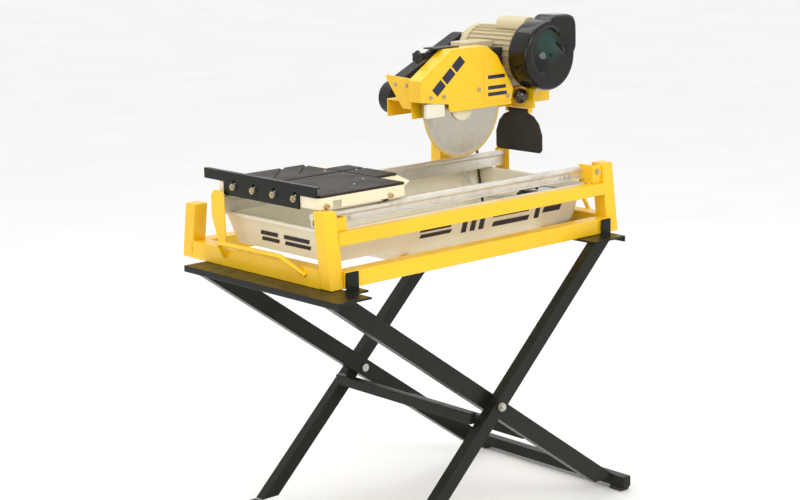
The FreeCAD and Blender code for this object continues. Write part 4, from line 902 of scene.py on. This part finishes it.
fan_shroud()
repeated("shroud_screws", socket_screw,
         [((MOTOR_X + 75 * math.cos(a), 178.7, MOTOR_Z + 75 * math.sin(a)), OUT_NEAR)
          for a in (math.radians(t) for t in (150, 240, 330))], "head", dark, 0.15)

# ---------------------------------------------------------------- knobs
def lobes(count, depth, least):
    return lambda turn, radius, along: 1 + depth * math.cos(count * turn) if radius > least else 1.0


ball = turned("knob_ball", [(5, 20), (8, 18.4), (13.5, 13.4), (17.6, 7), (19, 0), (18.2, -5.5), (15, -11.6),
                            (10, -16.2), (3, -18.8)], at(*KNOB), "x", 64)
stud = turned("knob_stud", [(5, 14), (5, 32), (4.2, 33)], at(*KNOB), "x", 32)
knob_brown = moulded("brown_black_ball", (0.012, 0.007, 0.004), (0.03, 0.016, 0.008), 0.16, 500.0,
                     0.00002, 0.1, Coat_Weight=0.6)
finished(joined("lock_knob_finished", [ball, stud]), "knob", knob_brown,
         ["lock_knob"])
disc = turned("knob_disc", [(5, 26.4), (13.4, 26.4), (14.6, 27), (15, 28), (15, 30), (14.4, 31.2), (5, 31.2)],
              at(*KNOB), "x", 144, lobes(24, 0.05, 13.2))
finished(disc, "knob", casting)
star_profile = [(4, 0), (11, 0), (14, 1.6), (15, 4), (15, 9), (14, 11), (10, 12), (7, 12.4), (7, 21)]
star = turned("star_grip", star_profile, at(523.6, VALVE_Y, VALVE_Z), "x", 100, lobes(6, 0.1, 9))
finished(star, "valve", dark, ["valve_handle"])

# ---------------------------------------------------------------- small fasteners
repeated("fence_nuts", hex_bolt,
         [((1.3, y, 186), OUT_LEFT) for y in (125.5, 198.5, 271.5, 344.5)],
         "cart", brass, 0.75)
repeated("table_rivets", dome_rivet, [((220, 146, 200), OUT_UP), ((161, 107, 200), OUT_UP),
                                      ((291, 253, 200), OUT_UP), ((230, 293, 200), OUT_UP)],
         "cart", zinc, 0.8)
repeated("cart_axle_heads", socket_screw, [((x, 43, ROLLER_Z), OUT_NEAR) for x in (31, 212)],
         "cart", brass, 1.1)
repeated("bracket_bolt_heads", hex_bolt, [((857, 19.2, 150), OUT_NEAR)],
         "saw_frame", zinc, 0.85)
repeated("rail_rivets", dome_rivet, [((x, 62.9, 140), OUT_NEAR) for x in (107, 803, 770, 787)],
         "saw_frame", zinc, 1.0)
repeated("arm_bolts", hex_bolt, [((x, 284.9, z), OUT_NEAR) for x, z in ((812, 318), (914, 318))],
         "head", zinc, 0.8)
repeated("apron_bolts", hex_bolt, [((492.9, y, z), OUT_LEFT) for y, z in ((300, 372), (340, 372))],
         "head", zinc, 0.7)
repeated("belt_guard_screws", socket_screw,
         [((ARBOR_X + dx, 521.8, ARBOR_Z + dz), OUT_FAR)
          for dx, dz in ((-26, -14), (-8, 28), (212, 132), (246, 98))],
         "head", zinc, 1.0)
repeated("scissor_bolt_heads_a", hex_bolt,
         [((446, -60.6, -337), OUT_NEAR), ((446, 484.0, -337), OUT_FAR)],
         "stand_a", zinc, 1.35)
for model in models + [fin]:
    bpy.data.objects.remove(model)


# ---------------------------------------------------------------- weld beads
def weld(name, spots, body, look):
    """A hand-laid bead along straight runs: overlapping flattened ripples."""
    beads = []
    for number, (start, end) in enumerate(spots):
        a, b = at(*start), at(*end)
        run = (b - a).length
        count = max(8, int(run / 0.0012))
        ahead = (b - a).normalized()
        side = ahead.orthogonal().normalized()
        up = ahead.cross(side)
        verts = []
        for ring in range(count + 1):
            centre = a.lerp(b, ring / count)
            swell = 0.0019 * (1 + 0.16 * math.sin(ring * 2.1) + 0.12 * noise.noise(centre * 160))
            swell *= min(1.0, 0.35 + min(ring, count - ring) * 0.22)
            for step in range(10):
                turn = 2 * math.pi * step / 10
                verts.append(centre + (side * math.cos(turn) + up * math.sin(turn)) * swell)
        beads.append(mesh_object("%s_%d" % (name, number), verts, ring_faces(count + 1, 10)))
    return finished(joined(name, beads), body, look)


weld("frame_welds", [
    ((37.2, 1, 37.2), (37.2, 34, 37.2)), ((872.8, 1, 37.2), (872.8, 34, 37.2)),
    ((37.3, 0.3, 2), (37.3, 0.3, 35)), ((872.7, 0.3, 2), (872.7, 0.3, 35)),
    ((2, 37.6, 42.3), (35, 37.6, 42.3)), ((875, 37.6, 42.3), (908, 37.6, 42.3)),
    ((2, 508.4, 42.3), (35, 508.4, 42.3)), ((0.2, 37.3, 4), (0.2, 37.3, 40)),
    ((37.4, 11.6, 93), (37.4, 13.5, 119)), ((872.6, 11.6, 93), (872.6, 13.5, 119)),
    ((0.3, 508.6, 4), (0.3, 508.6, 40)), ((762, 509, 37.4), (835, 509, 37.4)),
], "saw_frame", yellow)
weld("stand_welds", [((-20, -27.9, -5.6), (24, -27.9, -5.6)), ((2, 424.4, -5.6), (40, 424.4, -5.6)),
                     ((870.8, -29, -613), (870.8, -2, -613)), ((49, -8.9, 0.2), (36, -8.9, 0.2))],
     "stand_a", black)

# ---------------------------------------------------------------- floor, light and camera
floor_look = Shader("pale_floor", 0.62)
floor_tone = floor_look.clouds(1.4, 3.0).spread(0.3, 0.7)
floor_look.feed(Base_Color=floor_look.blend(floor_tone, (0.93, 0.93, 0.92), (0.9, 0.9, 0.89)))
floor_look.bumpy(floor_look.clouds(120.0, 2.0), 0.0002, 0.1)
backdrop = bmesh.new()
floor_mesh = bpy.data.meshes.new("studio_floor")
bmesh.ops.create_grid(backdrop, x_segments=2, y_segments=2, size=60)
backdrop.to_mesh(floor_mesh)
backdrop.free()
floor = bpy.data.objects.new("studio_floor", floor_mesh)
bpy.context.scene.collection.objects.link(floor)
floor.location.z = -0.0005
floor_mesh.materials.append(floor_look.material)

world = bpy.data.worlds.new("soft_studio")
bpy.context.scene.world = world
world.use_nodes = True
world.node_tree.nodes["Background"].inputs["Color"].default_value = (1.0, 1.0, 1.0, 1.0)
world.node_tree.nodes["Background"].inputs["Strength"].default_value = 1.0
bpy.context.scene.view_settings.view_transform = "Standard"


def softbox(name, place, target, size, power, colour=(1.0, 1.0, 1.0)):
    lamp = bpy.data.lights.new(name, "AREA")
    lamp.shape = "RECTANGLE"
    lamp.size, lamp.size_y = size
    lamp.energy = power
    lamp.color = colour
    obj = bpy.data.objects.new(name, lamp)
    bpy.context.scene.collection.objects.link(obj)
    obj.location = place
    obj.rotation_euler = (Vector(target) - Vector(place)).to_track_quat("-Z", "Y").to_euler()


softbox("key_light", (-0.6, -3.2, 2.9), (0, 0, 0.7), (1.8, 1.4), 42, (1.0, 0.97, 0.92))
softbox("fill_light", (-3.4, -0.4, 1.9), (0, 0, 0.7), (1.6, 1.8), 16, (1.0, 0.96, 0.9))
softbox("top_light", (0.6, 0.8, 3.4), (0, 0, 0.7), (2.4, 2.0), 26)

AZIMUTH, ELEVATION, ROLL = math.radians(-41.4), math.radians(11.9), math.radians(-1.2)
DISTANCE = 4.141
back = Vector((math.sin(AZIMUTH) * math.cos(ELEVATION), -math.cos(AZIMUTH) * math.cos(ELEVATION),
               math.sin(ELEVATION)))
across = Vector((0, 0, 1)).cross(back).normalized()
upright = back.cross(across)
turned_across = across * math.cos(ROLL) + upright * math.sin(ROLL)
turned_upright = upright * math.cos(ROLL) - across * math.sin(ROLL)
camera_data = bpy.data.cameras.new("photo_camera")
camera_data.sensor_width = 36.0
camera_data.lens = 81.82
camera = bpy.data.objects.new("photo_camera", camera_data)
bpy.context.scene.collection.objects.link(camera)
facing = Matrix((turned_across, turned_upright, back)).transposed().to_4x4()
facing.translation = at(305.0, 122.7, 27.1) + back * DISTANCE
camera.matrix_world = facing
bpy.context.scene.camera = camera
